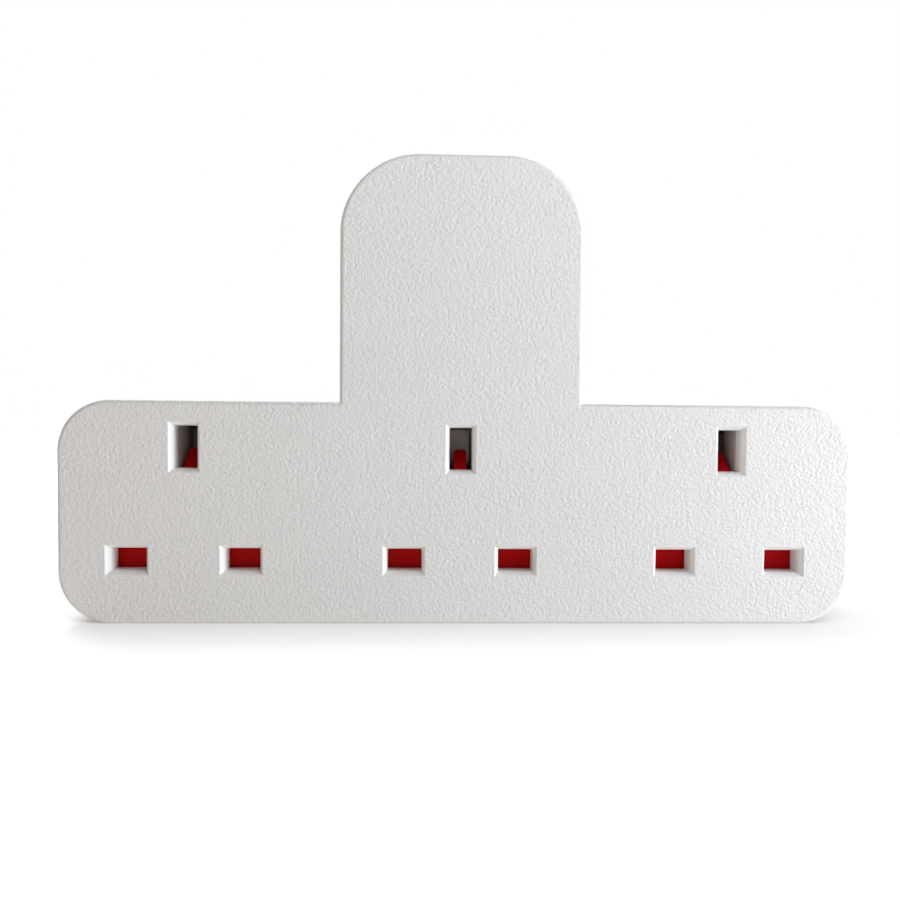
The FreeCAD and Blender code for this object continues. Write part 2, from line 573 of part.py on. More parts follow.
def contact_corners(half_pin, mouth_y, base_y):
    """Section of a contact: two leaves that pinch towards the pin and flare at the mouth, and a base."""
    grip = half_pin + CONTACT_GRIP_GAP
    spread = grip + CONTACT_BASE_SPREAD
    flare = grip + CONTACT_FLARE
    grip_y = mouth_y + CONTACT_MOUTH_LENGTH
    base = base_y - CONTACT_THICKNESS
    path = [(-flare, mouth_y), (-grip, grip_y), (-spread, base),
            (spread, base), (grip, grip_y), (flare, mouth_y)]
    return strip_corners(path, CONTACT_THICKNESS)


def make_flat_contact(x, bus_y):
    """A live or neutral contact: its leaves lie above and below the pin."""
    corners = contact_corners(FLAT_PIN_HEIGHT / 2, FACE_Y + LIVE_CONTACT_MOUTH_DEPTH, bus_y)
    section = [(y, LIVE_Z + u, r) for u, y, r in corners]
    return prism_x(section, x - LIVE_CONTACT_WIDTH / 2, x + LIVE_CONTACT_WIDTH / 2)


def make_earth_contact(x):
    """An earth contact: its leaves lie on both sides of the pin."""
    corners = contact_corners(EARTH_PIN_WIDTH / 2, FACE_Y + EARTH_CONTACT_MOUTH_DEPTH, EARTH_BUS_Y)
    section = [(x + u, y, r) for u, y, r in corners]
    return prism_z(section, EARTH_Z - EARTH_CONTACT_WIDTH / 2, EARTH_Z + EARTH_CONTACT_WIDTH / 2)


def make_line_bus():
    """The line strip runs above the flat pins, with a tab to each contact and a tongue up to the fuse."""
    low = LIVE_Z + BUS_OFFSET
    high = low + BUS_WIDTH
    tab_end = LIVE_Z - CONTACT_HALF_HEIGHT
    half = LIVE_CONTACT_WIDTH / 2
    centres = [x + HALF_SPACING for x in SOCKETS.values()]
    corners = []
    for c in centres:
        corners += [(c - half, low, 0.0), (c - half, tab_end, 0.0),
                    (c + half, tab_end, 0.0), (c + half, low, 0.0)]
    right = centres[-1] + half + BUS_END
    left = centres[0] - half - BUS_END
    tongue_right = LINE_TONGUE_LEFT + LINE_TONGUE_WIDTH
    corners += [(right, low, 0.0), (right, high, 0.0), (tongue_right, high, 0.0),
                (tongue_right, LINE_TONGUE_TOP, 0.0), (LINE_TONGUE_LEFT, LINE_TONGUE_TOP, 0.0),
                (LINE_TONGUE_LEFT, high, 0.0), (left, high, 0.0), (left, low, 0.0)]
    return prism_y(corners, LINE_BUS_Y, LINE_BUS_Y + BUS_THICKNESS)


def make_neutral_bus():
    """The neutral strip runs below the flat pins. Its middle tab goes on up to the neutral plug pin."""
    high = LIVE_Z - BUS_OFFSET
    low = high - BUS_WIDTH
    tab_end = LIVE_Z + CONTACT_HALF_HEIGHT
    half = LIVE_CONTACT_WIDTH / 2
    centres = [x - HALF_SPACING for x in SOCKETS.values()]
    left = centres[0] - half - BUS_END
    right = centres[-1] + half + BUS_END
    tongue = NEUTRAL_TONGUE_WIDTH / 2
    tongue_top = PLUG_LIVE_Z + PIN_HEAD / 2
    corners = [(left, low, 0.0), (right, low, 0.0), (right, high, 0.0)]
    for c in centres[::-1]:
        corners += [(c + half, high, 0.0), (c + half, tab_end, 0.0)]
        if c == centres[1]:
            corners += [(c + tongue, tab_end, 0.0), (c + tongue, tongue_top, 0.0),
                        (c - tongue, tongue_top, 0.0), (c - tongue, tab_end, 0.0)]
        corners += [(c - half, tab_end, 0.0), (c - half, high, 0.0)]
    corners.append((left, high, 0.0))
    return prism_y(corners, NEUTRAL_BUS_Y, NEUTRAL_BUS_Y + BUS_THICKNESS)


def make_earth_bus():
    """The earth strip lies on the back wall, and goes round the fuse to the earth plug pin."""
    end = SOCKET_PITCH + LIVE_CONTACT_WIDTH / 2 + BUS_END
    low = EARTH_Z - BUS_WIDTH / 2
    high = EARTH_Z + BUS_WIDTH / 2
    riser_left = -STEM_WIDTH / 2 + SIDE_WALL + LIP_GAP + LIP_THICKNESS + EARTH_RISER_GAP
    riser_right = -HALF_SPACING - PIN_HEAD / 2 - EARTH_RISER_GAP
    run_top = EARTH_RUN_BOTTOM + EARTH_RUN_HEIGHT
    plate_right = EARTH_HEAD_WIDTH / 2
    plate_bottom = PLUG_EARTH_Z - EARTH_HEAD_HEIGHT / 2
    plate_top = PLUG_EARTH_Z + EARTH_HEAD_HEIGHT / 2
    outline = [(-end, low), (end, low), (end, high), (riser_right, high),
               (riser_right, EARTH_RUN_BOTTOM), (EARTH_RUN_RIGHT, EARTH_RUN_BOTTOM),
               (EARTH_RUN_RIGHT, plate_bottom), (plate_right, plate_bottom),
               (plate_right, plate_top), (EARTH_PLATE_LEFT, plate_top),
               (EARTH_PLATE_LEFT, run_top), (riser_left, run_top),
               (riser_left, high), (-end, high)]
    strip = prism_y([(u, v, 0.0) for u, v in outline], EARTH_BUS_Y, EARTH_BUS_Y + BUS_THICKNESS)
    hole = rectangle(0, PLUG_EARTH_Z, EARTH_PIN_WIDTH + 2 * PIN_HOLE_GAP,
                     EARTH_PIN_HEIGHT + 2 * PIN_HOLE_GAP)
    return strip.cut(prism_y(hole, EARTH_BUS_Y - OVERRUN, FLOOR_Y + OVERRUN))


# Plug pins

def tipped_pin(x, z, width, height, y0, y1):
    """A rectangular pin with a bevelled tip."""
    pin = prism_y(rectangle(x, z, width, height), y0, y1)
    return pin.makeChamfer(PIN_TIP_CHAMFER, edges_at_y(pin, y1))


def make_flat_pin(x, head_y):
    """A live or neutral plug pin: a head inside, a neck for the sleeve and a bevelled tip."""
    head = prism_y(rectangle(x, PLUG_LIVE_Z, PIN_HEAD, PIN_HEAD), head_y, FLOOR_Y)
    neck = prism_y(rectangle(x, PLUG_LIVE_Z, FLAT_PIN_WIDTH - 2 * SLEEVE_THICKNESS,
                             FLAT_PIN_HEIGHT - 2 * SLEEVE_THICKNESS), FLOOR_Y, SLEEVE_LENGTH)
    tip = tipped_pin(x, PLUG_LIVE_Z, FLAT_PIN_WIDTH, FLAT_PIN_HEIGHT, SLEEVE_LENGTH, FLAT_PIN_LENGTH)
    return head.fuse([neck, tip]).removeSplitter()


def make_sleeve(x):
    """The insulating sleeve on a live or neutral pin, flush with the pin's tip."""
    outer = prism_y(rectangle(x, PLUG_LIVE_Z, FLAT_PIN_WIDTH, FLAT_PIN_HEIGHT), FLOOR_Y, SLEEVE_LENGTH)
    inside = rectangle(x, PLUG_LIVE_Z, FLAT_PIN_WIDTH - 2 * SLEEVE_THICKNESS,
                       FLAT_PIN_HEIGHT - 2 * SLEEVE_THICKNESS)
    bore = prism_y(inside, FLOOR_Y - OVERRUN, SLEEVE_LENGTH + OVERRUN)
    return outer.cut(bore)


def make_earth_pin():
    """The earth plug pin: longer than the others, and plain metal to its root."""
    head = prism_y(rectangle(0, PLUG_EARTH_Z, EARTH_HEAD_WIDTH, EARTH_HEAD_HEIGHT),
                   FACE_Y + EARTH_HEAD_DEPTH, EARTH_BUS_Y)
    pin = tipped_pin(0, PLUG_EARTH_Z, EARTH_PIN_WIDTH, EARTH_PIN_HEIGHT, EARTH_BUS_Y, EARTH_PIN_LENGTH)
    return head.fuse(pin).removeSplitter()


# Fuse

def make_fuse_body():
    """The ceramic tube of the fuse."""
    half = FUSE_LENGTH / 2 - FUSE_CAP_WALL
    return rod_z(0, FUSE_AXIS_Y, FUSE_BODY_RADIUS, FUSE_CENTRE_Z - half, FUSE_CENTRE_Z + half)


def make_fuse_caps():
    """The two metal caps of the fuse."""
    caps = []
    for side in (-1, 1):
        end = FUSE_CENTRE_Z + side * FUSE_LENGTH / 2
        mouth = end - side * FUSE_CAP_LENGTH
        cap = rod_z(0, FUSE_AXIS_Y, FUSE_RADIUS, min(end, mouth), max(end, mouth))
        caps.append(cap.cut(make_fuse_body()))
    return Part.makeCompound(caps)


def fuse_clip(z0):
    """One clip: two leaves that hold a fuse cap, on a base."""
    leaf = FUSE_RADIUS + FUSE_CLIP_GAP
    flare = leaf + FUSE_CLIP_FLARE
    path = [(flare, FUSE_CLIP_MOUTH_Y), (leaf, FUSE_CLIP_GRIP_Y), (leaf, FUSE_CLIP_BASE_Y),
            (-leaf, FUSE_CLIP_BASE_Y), (-leaf, FUSE_CLIP_GRIP_Y), (-flare, FUSE_CLIP_MOUTH_Y)]
    corners = strip_corners(path, CONTACT_THICKNESS)
    return prism_z(corners, z0, z0 + FUSE_CLIP_WIDTH)


def make_upper_clip():
    """The upper clip, with a strap across to the head of the line pin."""
    z0 = UPPER_CLIP_Z
    z1 = z0 + FUSE_CLIP_WIDTH
    right = HALF_SPACING + LINE_TONGUE_WIDTH / 2
    left = HALF_SPACING - LINE_TONGUE_WIDTH / 2
    strap = [(0, z0, 0.0), (left, z0, 0.0), (left, PLUG_LIVE_Z, 0.0),
             (right, PLUG_LIVE_Z, 0.0), (right, z1, 0.0), (0, z1, 0.0)]
    flat = prism_y(strap, FUSE_CLIP_BASE_Y - CONTACT_THICKNESS, FUSE_CLIP_BASE_Y)
    return fuse_clip(z0).fuse(flat).removeSplitter()


def make_lower_clip():
    """The lower clip, with a strap stepped back to the tongue of the line strip."""
    z0 = LOWER_CLIP_Z
    right = LINE_TONGUE_LEFT + LINE_TONGUE_WIDTH
    foot_y = LINE_BUS_Y - CONTACT_THICKNESS
    path = [(0, FUSE_CLIP_BASE_Y), (right - CONTACT_THICKNESS, FUSE_CLIP_BASE_Y),
            (right - CONTACT_THICKNESS, foot_y), (LINE_TONGUE_LEFT, foot_y)]
    strap = prism_z(strip_corners(path[::-1], CONTACT_THICKNESS), z0, z0 + FUSE_CLIP_WIDTH)
    return fuse_clip(z0).fuse(strap).removeSplitter()


def make_fuse_carrier():
    """The carrier that is levered out of the back: a lid, a snap cradle for the fuse and two end stops."""
    lid = prism_y(carrier_outline(CARRIER_GAP), -CARRIER_FLANGE, 0)
    plug = prism_y(carrier_outline(CARRIER_LEDGE + CARRIER_GAP), -CARRIER_PLUG_DEPTH, -CARRIER_FLANGE)
    cradle_y = FUSE_AXIS_Y - CRADLE_REACH
    cradle = prism_y(rectangle(0, FUSE_CENTRE_Z, CRADLE_WIDTH, CRADLE_LENGTH), cradle_y, -CARRIER_PLUG_DEPTH)
    pieces = [plug, cradle]
    for side in (-1, 1):
        stop_z = FUSE_CENTRE_Z + side * (FUSE_LENGTH / 2 + CARRIER_STOP_GAP + CARRIER_STOP_THICKNESS / 2)
        stop = rectangle(0, stop_z, CARRIER_STOP_WIDTH, CARRIER_STOP_THICKNESS)
        pieces.append(prism_y(stop, FUSE_AXIS_Y, -CARRIER_PLUG_DEPTH))
    seat = rod_z(0, FUSE_AXIS_Y, FUSE_RADIUS + FUSE_CLIP_GAP, FUSE_CENTRE_Z - CRADLE_LENGTH,
                 FUSE_CENTRE_Z + CRADLE_LENGTH)
    trim = prism_y(rectangle(0, FUSE_CENTRE_Z, CRADLE_WIDTH, CRADLE_LENGTH + OVERRUN), cradle_y - OVERRUN,
                   -CARRIER_PLUG_DEPTH)
    mouth = prism_y(rectangle(0, FUSE_CENTRE_Z, CRADLE_MOUTH, CRADLE_LENGTH + OVERRUN), cradle_y - OVERRUN,
                    FUSE_AXIS_Y)
    pry_z = FUSE_CENTRE_Z + CARRIER_HEIGHT / 2 - PRY_SLOT_FROM_TOP - PRY_SLOT_HEIGHT / 2
    pry = prism_y(rectangle(0, pry_z, PRY_SLOT_WIDTH, PRY_SLOT_HEIGHT), -PRY_SLOT_DEPTH, OVERRUN)
    return lid.fuse(pieces).cut([seat.common(trim), mouth, pry]).removeSplitter()


# Screws

def make_screw(x, z):
    """A self-tapping screw with a cross recess, seated in its counterbore."""
    head_back = -SCREW_SINK
    head_front = head_back - SCREW_HEAD_HEIGHT
    head = rod_y(x, z, SCREW_HEAD_RADIUS, head_front, head_back)
    core = rod_y(x, z, SCREW_CORE_RADIUS, head_front - SCREW_LENGTH, head_front)
    recess_y = head_back - SCREW_CROSS_DEPTH
    across = prism_y(rectangle(x, z, SCREW_CROSS_LENGTH, SCREW_CROSS_WIDTH), recess_y, OVERRUN)
    upright = prism_y(rectangle(x, z, SCREW_CROSS_WIDTH, SCREW_CROSS_LENGTH), recess_y, OVERRUN)
    return head.fuse(core).cut([across, upright]).removeSplitter()


def make_parts():
    """Every sub-part by its name."""
    parts = {"front_cover": make_front_cover(), "back_cover": make_back_cover()}
    for name, x in SOCKETS.items():
        parts["shutter_" + name] = make_shutter(x)
        parts["shutter_spring_" + name] = make_spring(x)
        parts["shutter_guide_" + name] = make_guide(x)
        parts["line_contact_" + name] = make_flat_contact(x + HALF_SPACING, LINE_BUS_Y)
        parts["neutral_contact_" + name] = make_flat_contact(x - HALF_SPACING, NEUTRAL_BUS_Y)
        parts["earth_contact_" + name] = make_earth_contact(x)
    parts["line_bus"] = make_line_bus()
    parts["neutral_bus"] = make_neutral_bus()
    parts["earth_bus"] = make_earth_bus()
    parts["line_pin"] = make_flat_pin(HALF_SPACING, FUSE_CLIP_BASE_Y)
    parts["neutral_pin"] = make_flat_pin(-HALF_SPACING, NEUTRAL_BUS_Y + BUS_THICKNESS)
    parts["earth_pin"] = make_earth_pin()
    parts["line_pin_sleeve"] = make_sleeve(HALF_SPACING)
    parts["neutral_pin_sleeve"] = make_sleeve(-HALF_SPACING)
    parts["fuse_body"] = make_fuse_body()
    parts["fuse_caps"] = make_fuse_caps()
    parts["fuse_clip_upper"] = make_upper_clip()
    parts["fuse_clip_lower"] = make_lower_clip()
    parts["fuse_carrier"] = make_fuse_carrier()
    for name, (x, z) in SCREWS.items():
        parts["screw_" + name] = make_screw(x, z)
    return parts


os.makedirs("parts", exist_ok=True)
for node, shape in make_parts().items():
    shape.exportStep("parts/" + node + ".step")
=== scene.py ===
# %% [markdown]
# # A three-way socket adapter
# Two white mouldings make a tee: a wide bar with three shuttered sockets, and a stem that carries the plug pins.
# The imported model gives the places and sizes, and this script dresses it. It makes the front cover, brass pins,
# sleeves, coil springs, screws and the fuse as surfaces worked out with numpy, rounds the edges of copies of the
# back cover, the red shutters and the fuse carrier, gives every piece a finish of nodes, and ends with the light
# and the camera.

# %% Load the frame
import json
from math import atan2, pi, radians

import bmesh
import bpy
import numpy as np
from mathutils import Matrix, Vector
from mathutils.geometry import tessellate_polygon

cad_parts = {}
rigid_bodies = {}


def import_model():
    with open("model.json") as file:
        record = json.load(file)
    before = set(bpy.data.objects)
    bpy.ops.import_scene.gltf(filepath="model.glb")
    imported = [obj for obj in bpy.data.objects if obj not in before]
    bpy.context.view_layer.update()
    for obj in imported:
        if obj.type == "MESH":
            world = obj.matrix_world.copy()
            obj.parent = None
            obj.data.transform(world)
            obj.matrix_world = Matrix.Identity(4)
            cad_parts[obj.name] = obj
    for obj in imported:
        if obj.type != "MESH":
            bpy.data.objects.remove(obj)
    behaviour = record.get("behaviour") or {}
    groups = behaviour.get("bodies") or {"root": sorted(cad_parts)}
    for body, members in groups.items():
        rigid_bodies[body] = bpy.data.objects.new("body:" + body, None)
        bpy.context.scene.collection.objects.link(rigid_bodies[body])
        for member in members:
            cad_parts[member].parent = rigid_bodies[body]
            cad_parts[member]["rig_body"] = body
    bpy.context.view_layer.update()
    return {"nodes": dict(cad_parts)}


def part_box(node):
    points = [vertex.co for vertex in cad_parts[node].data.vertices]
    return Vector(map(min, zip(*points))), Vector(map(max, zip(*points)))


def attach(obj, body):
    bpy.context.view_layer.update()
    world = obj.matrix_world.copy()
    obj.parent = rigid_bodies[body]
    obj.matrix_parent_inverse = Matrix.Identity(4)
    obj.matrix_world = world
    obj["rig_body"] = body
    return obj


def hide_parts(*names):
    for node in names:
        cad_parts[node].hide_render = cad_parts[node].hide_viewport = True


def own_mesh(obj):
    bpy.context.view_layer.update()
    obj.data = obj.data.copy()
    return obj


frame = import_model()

nodes = frame["nodes"]
MM = 0.001

# %% [markdown]
# ## Reading places from the frame
# Every object of the frame sits at the origin with its place in its mesh, so a node's box tells where it is.
# The slots lie in front of the contacts, and the holes of the back lie round the pins, the carrier and the screws.
# Only the sizes that no box shows, such as corner radii, are written here, in metres.

# %% Places of the sockets, pins and screws
SOCKETS = ("left", "middle", "right")


def centre(node):
    """The middle of a node's box."""
    low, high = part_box(node)
    return (low + high) / 2


cover_low, cover_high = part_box("front_cover")
FACE_Y = cover_low.y
SEAM_Y = cover_high.y
BAR_BOTTOM = cover_low.z
STEM_TOP = cover_high.z
BAR_HALF_WIDTH = cover_high.x
BAR_HEIGHT = 43.95 * MM
BAR_CORNER = 10.2 * MM
STEM_HALF_WIDTH = 24.0 * MM
STEM_CORNER = 15.5 * MM
BAR_TOP = BAR_BOTTOM + BAR_HEIGHT
print("face at", round(FACE_Y / MM, 2), "seam at", round(SEAM_Y / MM, 2), "bar top at", round(BAR_TOP / MM, 2))

# %% [markdown]
# ## Outlines with offsets
# Each moulding here is an outline in a plane, carried along a profile. The outline moves outwards or inwards
# as the profile goes, which gives rounded edges, bell mouths and steps with one formula. A rounded corner keeps
# its centre and changes its radius, while a sharp corner moves along its mitre, as the corners of the slots do.

# %% An outline moved by many offsets at once
def outline(corners, offsets, steps=16):
    """Rings of points, one for each outward offset, round (u, v, radius) corners that run anticlockwise.

    At a corner the path turns by an angle f between its arriving direction a and its leaving direction b. The
    corner moves by offset * (m + n) / (1 + m.n), where m and n are the outward normals there. A rounded corner
    is the arc centre + r * (m cos t + a sin t) for t from 0 to f, with r its radius plus the offset, and a
    centre that lies r tan(f / 2) before the corner and r inside the arriving side."""
    corners = np.asarray(corners, float)
    offsets = np.asarray(offsets, float)
    place = corners[:, :2]
    arriving = place - np.roll(place, 1, axis=0)
    arriving /= np.linalg.norm(arriving, axis=1, keepdims=True)
    leaving = np.roll(arriving, -1, axis=0)
    normal_in = np.stack([arriving[:, 1], -arriving[:, 0]], axis=1)
    normal_out = np.stack([leaving[:, 1], -leaving[:, 0]], axis=1)
    mitre = (normal_in + normal_out) / (1 + (normal_in * normal_out).sum(1, keepdims=True))
    arcs = []
    for p, radius, a, m, n, shift in zip(place, corners[:, 2], arriving, normal_in, normal_out, mitre):
        corner = p + offsets[:, None] * shift
        if radius <= 0:
            arcs.append(corner[:, None])
            continue
        r = (radius + offsets)[:, None]
        turn = atan2(m[0] * n[1] - m[1] * n[0], m @ n)
        middle = corner - r * np.tan(turn / 2) * a - r * m
        t = np.linspace(0, turn, steps + 1)[None, :, None]
        arcs.append(middle[:, None] + r[:, None] * (m * np.cos(t) + a * np.sin(t)))
    return np.concatenate(arcs, axis=1)


def box_corners(low_u, low_v, high_u, high_v, radius=0.0):
    """The four corners of a rectangle, anticlockwise."""
    return [(low_u, low_v, radius), (high_u, low_v, radius), (high_u, high_v, radius), (low_u, high_v, radius)]


def circle_corners(u, v, radius):
    """A circle is a square whose corners are rounded by half its side."""
    return box_corners(u - radius, v - radius, u + radius, v + radius, radius)


TEE = [(-BAR_HALF_WIDTH, BAR_BOTTOM, BAR_CORNER), (BAR_HALF_WIDTH, BAR_BOTTOM, BAR_CORNER),
       (BAR_HALF_WIDTH, BAR_TOP, BAR_CORNER), (STEM_HALF_WIDTH, BAR_TOP, 0.0),
       (STEM_HALF_WIDTH, STEM_TOP, STEM_CORNER), (-STEM_HALF_WIDTH, STEM_TOP, STEM_CORNER),
       (-STEM_HALF_WIDTH, BAR_TOP, 0.0), (-BAR_HALF_WIDTH, BAR_TOP, BAR_CORNER)]
print("points round the tee:", outline(TEE, [0.0]).shape[1])

# %% [markdown]
# ## Walls and plates
# A wall is a grid: one direction goes round the outline, the other along the profile. A plate is a flat face
# that may have holes, cut into triangles by Blender's own polygon fill. One big face can't have holes, so that
# fill is the plainest way to a face with nine slots.

# %% Walls and plates
PLANES = {"y": (0, 2, 1), "z": (0, 1, 2)}   # for each direction of a profile: across, up and along


def grid_quads(rows, columns, looped=False):
    """The cells of a grid whose rows are closed rings: corners (i, j), (i, j + 1), (i + 1, j + 1), (i + 1, j).

    When it is looped, the last row joins the first one too."""
    i, j = np.meshgrid(np.arange(rows if looped else rows - 1), np.arange(columns), indexing="ij")
    here, below, after = i * columns, (i + 1) % rows * columns, (j + 1) % columns
    return np.stack([here + j, here + after, below + after, below + j], -1).reshape(-1, 4).tolist()


def wall(corners, profile, axis="y", steps=16):
    """Grid of points (i, j): the outline moved outwards by profile[i][0], at j round it and profile[i][1] deep."""
    profile = np.asarray(profile, float)
    rings = outline(corners, profile[:, 0], steps)
    rows, columns = rings.shape[:2]
    u, v, depth = PLANES[axis]
    points = np.empty((rows, columns, 3))
    points[..., u] = rings[..., 0]
    points[..., v] = rings[..., 1]
    points[..., depth] = profile[:, 1, None]
    return points.reshape(-1, 3), grid_quads(rows, columns)


def plate(rings, depth_at, axis="y"):
    """Flat face inside the first ring and outside the others, at one depth."""
    u, v, depth = PLANES[axis]
    points = np.zeros((sum(len(ring) for ring in rings), 3))
    points[:, [u, v]] = np.concatenate(rings)
    points[:, depth] = depth_at
    flat = [np.pad(ring, ((0, 0), (0, 1))).tolist() for ring in rings]
    return points, [list(face) for face in tessellate_polygon(flat)]


print("cells of a grid of 3 rings of 8 points:", len(grid_quads(3, 8)))

# %% [markdown]
# ## Closed pieces
# Walls and plates share their rings of points, so merging what coincides closes the piece, and only then are its
# normals made to point outwards. A Weighted Normal modifier keeps flat faces flat beside smooth edges, and the
# number of open edges that is printed has to be 0.

# %% Make a closed piece
SAME_POINT = 0.001 * MM


def make_piece(name, surfaces, materials, smooth_below=30.0):
    """Joins (points, faces, material index) surfaces into one closed mesh with its faces outwards."""
    points, faces, indices = [], [], []
    for surface_points, surface_faces, index in surfaces:
        start = sum(len(p) for p in points)
        points.append(surface_points)
        faces += [[start + corner for corner in face] for face in surface_faces]
        indices += [index] * len(surface_faces)
    mesh = bpy.data.meshes.new(name)
    mesh.from_pydata(np.concatenate(points).tolist(), [], faces)
    mesh.polygons.foreach_set("material_index", indices)
    for material in materials:
        mesh.materials.append(material)
    shape = bmesh.new()
    shape.from_mesh(mesh)
    bmesh.ops.remove_doubles(shape, verts=shape.verts, dist=SAME_POINT)
    bmesh.ops.recalc_face_normals(shape, faces=shape.faces)
    open_edges = sum(1 for edge in shape.edges if len(edge.link_faces) != 2)
    shape.to_mesh(mesh)
    shape.free()
    mesh.shade_smooth()
    mesh.set_sharp_from_angle(angle=radians(smooth_below))
    piece = bpy.data.objects.new(name, mesh)
    bpy.context.scene.collection.objects.link(piece)
    weighted = piece.modifiers.new("flat faces stay flat", "WEIGHTED_NORMAL")
    weighted.keep_sharp = True
    print(name, "faces", len(mesh.polygons), "open edges", open_edges)
    return piece


def dress(piece, node):
    """The piece takes a CAD node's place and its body."""
    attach(piece, nodes[node]["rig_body"])
    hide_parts(node)


print("points closer than", SAME_POINT / MM, "mm are merged")

# %% [markdown]
# A moulded or turned solid has rounded rims. It is a wall whose profile begins and ends with a quarter round, and
# a plate on each end, so it needs no modifier and is closed from the start.

# %% Blocks with rounded rims
def quarter_round(radius, outer, inner_depth, direction, steps=6):
    """Profile of a rounded edge: offset = outer - r (1 - cos t), depth = inner + direction r sin t."""
    t = np.linspace(0, pi / 2, steps + 1)
    return np.stack([outer - radius * (1 - np.cos(t)), inner_depth + direction * radius * np.sin(t)], axis=1)


def block(corners, low, high, edge, axis="y", steps=6):
    """Closed solid between two depths: a wall with a quarter round at both ends, and a plate on each."""
    low_end = quarter_round(edge, 0.0, low + edge, -1)[::-1]
    high_end = quarter_round(edge, 0.0, high - edge, 1)
    profile = np.concatenate([low_end, high_end])
    points, quads = wall(corners, profile, axis, steps)
    ends = outline(corners, [-edge], steps)[0]
    return [(points, quads, 0), (*plate([ends], low, axis), 0), (*plate([ends], high, axis), 0)]


sample = block(box_corners(0, 0, 1, 1, 0.2), 0, 1, 0.1)
print("a rounded block has", sum(len(faces) for _, faces, _ in sample), "faces")

# %% [markdown]
# ## Nodes and colours
# A colour is written as people pick it, an sRGB hex value, and one function turns it to the linear values that
# the shader needs. One more function adds a node with its settings and its links, so a finish reads as a list.

# %% Helpers for materials
MIX_A, MIX_B, MIXED = 6, 7, 2   # a Mix node has several sockets called A, B and Result, and these are for colour


def linear(hex_code):
    """sRGB hex to linear colour: c / 12.92 in the dark, ((c + 0.055) / 1.055) ** 2.4 above it."""
    srgb = np.array([int(hex_code[i:i + 2], 16) for i in (1, 3, 5)]) / 255
    bright = ((srgb + 0.055) / 1.055) ** 2.4
    return (*np.where(srgb <= 0.04045, srgb / 12.92, bright).tolist(), 1.0)


def add_node(tree, kind, inputs=None, **settings):
    """Adds one node. An input is a value, or the output socket that feeds it."""
    made = tree.nodes.new(kind)
    for name, value in settings.items():
        setattr(made, name, value)
    for name, value in (inputs or {}).items():
        if isinstance(value, bpy.types.NodeSocket):
            tree.links.new(value, made.inputs[name])
        else:
            made.inputs[name].default_value = value
    return made


def new_material(name, **inputs):
    """A material with a Principled shader, whose inputs are given by name. Returns it, its tree and its shader."""
    material = bpy.data.materials.new(name)
    material.use_nodes = True
    tree = material.node_tree
    shader = tree.nodes["Principled BSDF"]
    for socket, value in inputs.items():
        shader.inputs[socket.replace("_", " ")].default_value = value
    material.diffuse_color = shader.inputs["Base Color"].default_value
    return material, tree, shader


print("linear mid grey:", round(linear("#808080")[0], 3))

# %% [markdown]
# ## White moulded plastic
# Both covers are a white thermoplastic such as ABS or polycarbonate. The tool was eroded by sparks, so the skin
# carries a fine leathery grain of rounded grits about half a millimetre across, which breaks the gloss into soft
# points of light. Cutting the grain into the mesh would take millions of faces, so it is height for a Bump node,
# made of noise and of rounded cells, and the colour stays nearly even.

# %% Spark-eroded white plastic
GRIT = 0.55 * MM
GRIT_HEIGHT = 0.19 * MM
BLOTCH = 22 * MM

eroded_plastic, tree, shader = new_material("white_abs_spark_eroded", Base_Color=linear("#e6e5e3"), Roughness=0.5,
                                            IOR=1.5)
place = add_node(tree, "ShaderNodeTexCoord").outputs["Object"]
grit = add_node(tree, "ShaderNodeTexNoise", {"Vector": place, "Scale": 1 / GRIT, "Detail": 2.0, "Roughness": 0.55,
                                             "Distortion": 0.4})
pebble = add_node(tree, "ShaderNodeTexVoronoi", {"Vector": place, "Scale": 0.8 / GRIT, "Smoothness": 0.6},
                  feature="SMOOTH_F1")
height = add_node(tree, "ShaderNodeMath", {0: pebble.outputs["Distance"], 1: -0.6, 2: grit.outputs["Fac"]},
                  operation="MULTIPLY_ADD")
bump = add_node(tree, "ShaderNodeBump", {"Height": height.outputs["Value"], "Strength": 0.8,
                                         "Distance": GRIT_HEIGHT})
tree.links.new(bump.outputs["Normal"], shader.inputs["Normal"])
blotch = add_node(tree, "ShaderNodeTexNoise", {"Vector": place, "Scale": 1 / BLOTCH, "Detail": 3.0})
tint = add_node(tree, "ShaderNodeMix", {"Factor": blotch.outputs["Fac"], MIX_A: linear("#e4e3e1"),
                                        MIX_B: linear("#e8e7e5")}, data_type="RGBA")
tree.links.new(tint.outputs[MIXED], shader.inputs["Base Color"])
sheen = add_node(tree, "ShaderNodeMapRange", {"Value": grit.outputs["Fac"], "To Min": 0.42, "To Max": 0.6})
tree.links.new(sheen.outputs["Result"], shader.inputs["Roughness"])
print(eroded_plastic.name, "grit", round(GRIT / MM, 2), "mm")

# %% [markdown]
# Inside the slots the tool steel was left polished, so that a pin slides in. The same plastic has no grain there,
# but a smooth skin with the faint waviness that thick plastic takes as it shrinks. It looks a little lighter than
# the face, because a grain shades itself, and that is painted in: its colour is written lighter, as painted light.

# %% Polished white plastic
SHRINK_WAVE = 3.5 * MM

# the lighter colour is painted light: it stands in for the shade that the grain casts on the face
polished_plastic, tree, shader = new_material("white_abs_polished", Base_Color=linear("#f0efed"), Roughness=0.3,
                                              IOR=1.5)
place = add_node(tree, "ShaderNodeTexCoord").outputs["Object"]
wave = add_node(tree, "ShaderNodeTexNoise", {"Vector": place, "Scale": 1 / SHRINK_WAVE, "Detail": 1.0})
bump = add_node(tree, "ShaderNodeBump", {"Height": wave.outputs["Fac"], "Strength": 0.15, "Distance": 0.1 * MM})
tree.links.new(bump.outputs["Normal"], shader.inputs["Normal"])
print(polished_plastic.name)

# %% [markdown]
# Behind the mouth of an earth slot the walls belong to the white cover, but they are coloured a warm grey as
# painted shade, for the shade deep in the slot. The guide plates are unbleached nylon of that warm grey, a little
# uneven in colour, with faint upright drag lines from leaving its mould. A noise that a Mapping node stretches
# along z draws them.

# %% Warm grey nylon and painted shade
DRAG_LINE = 0.45 * MM

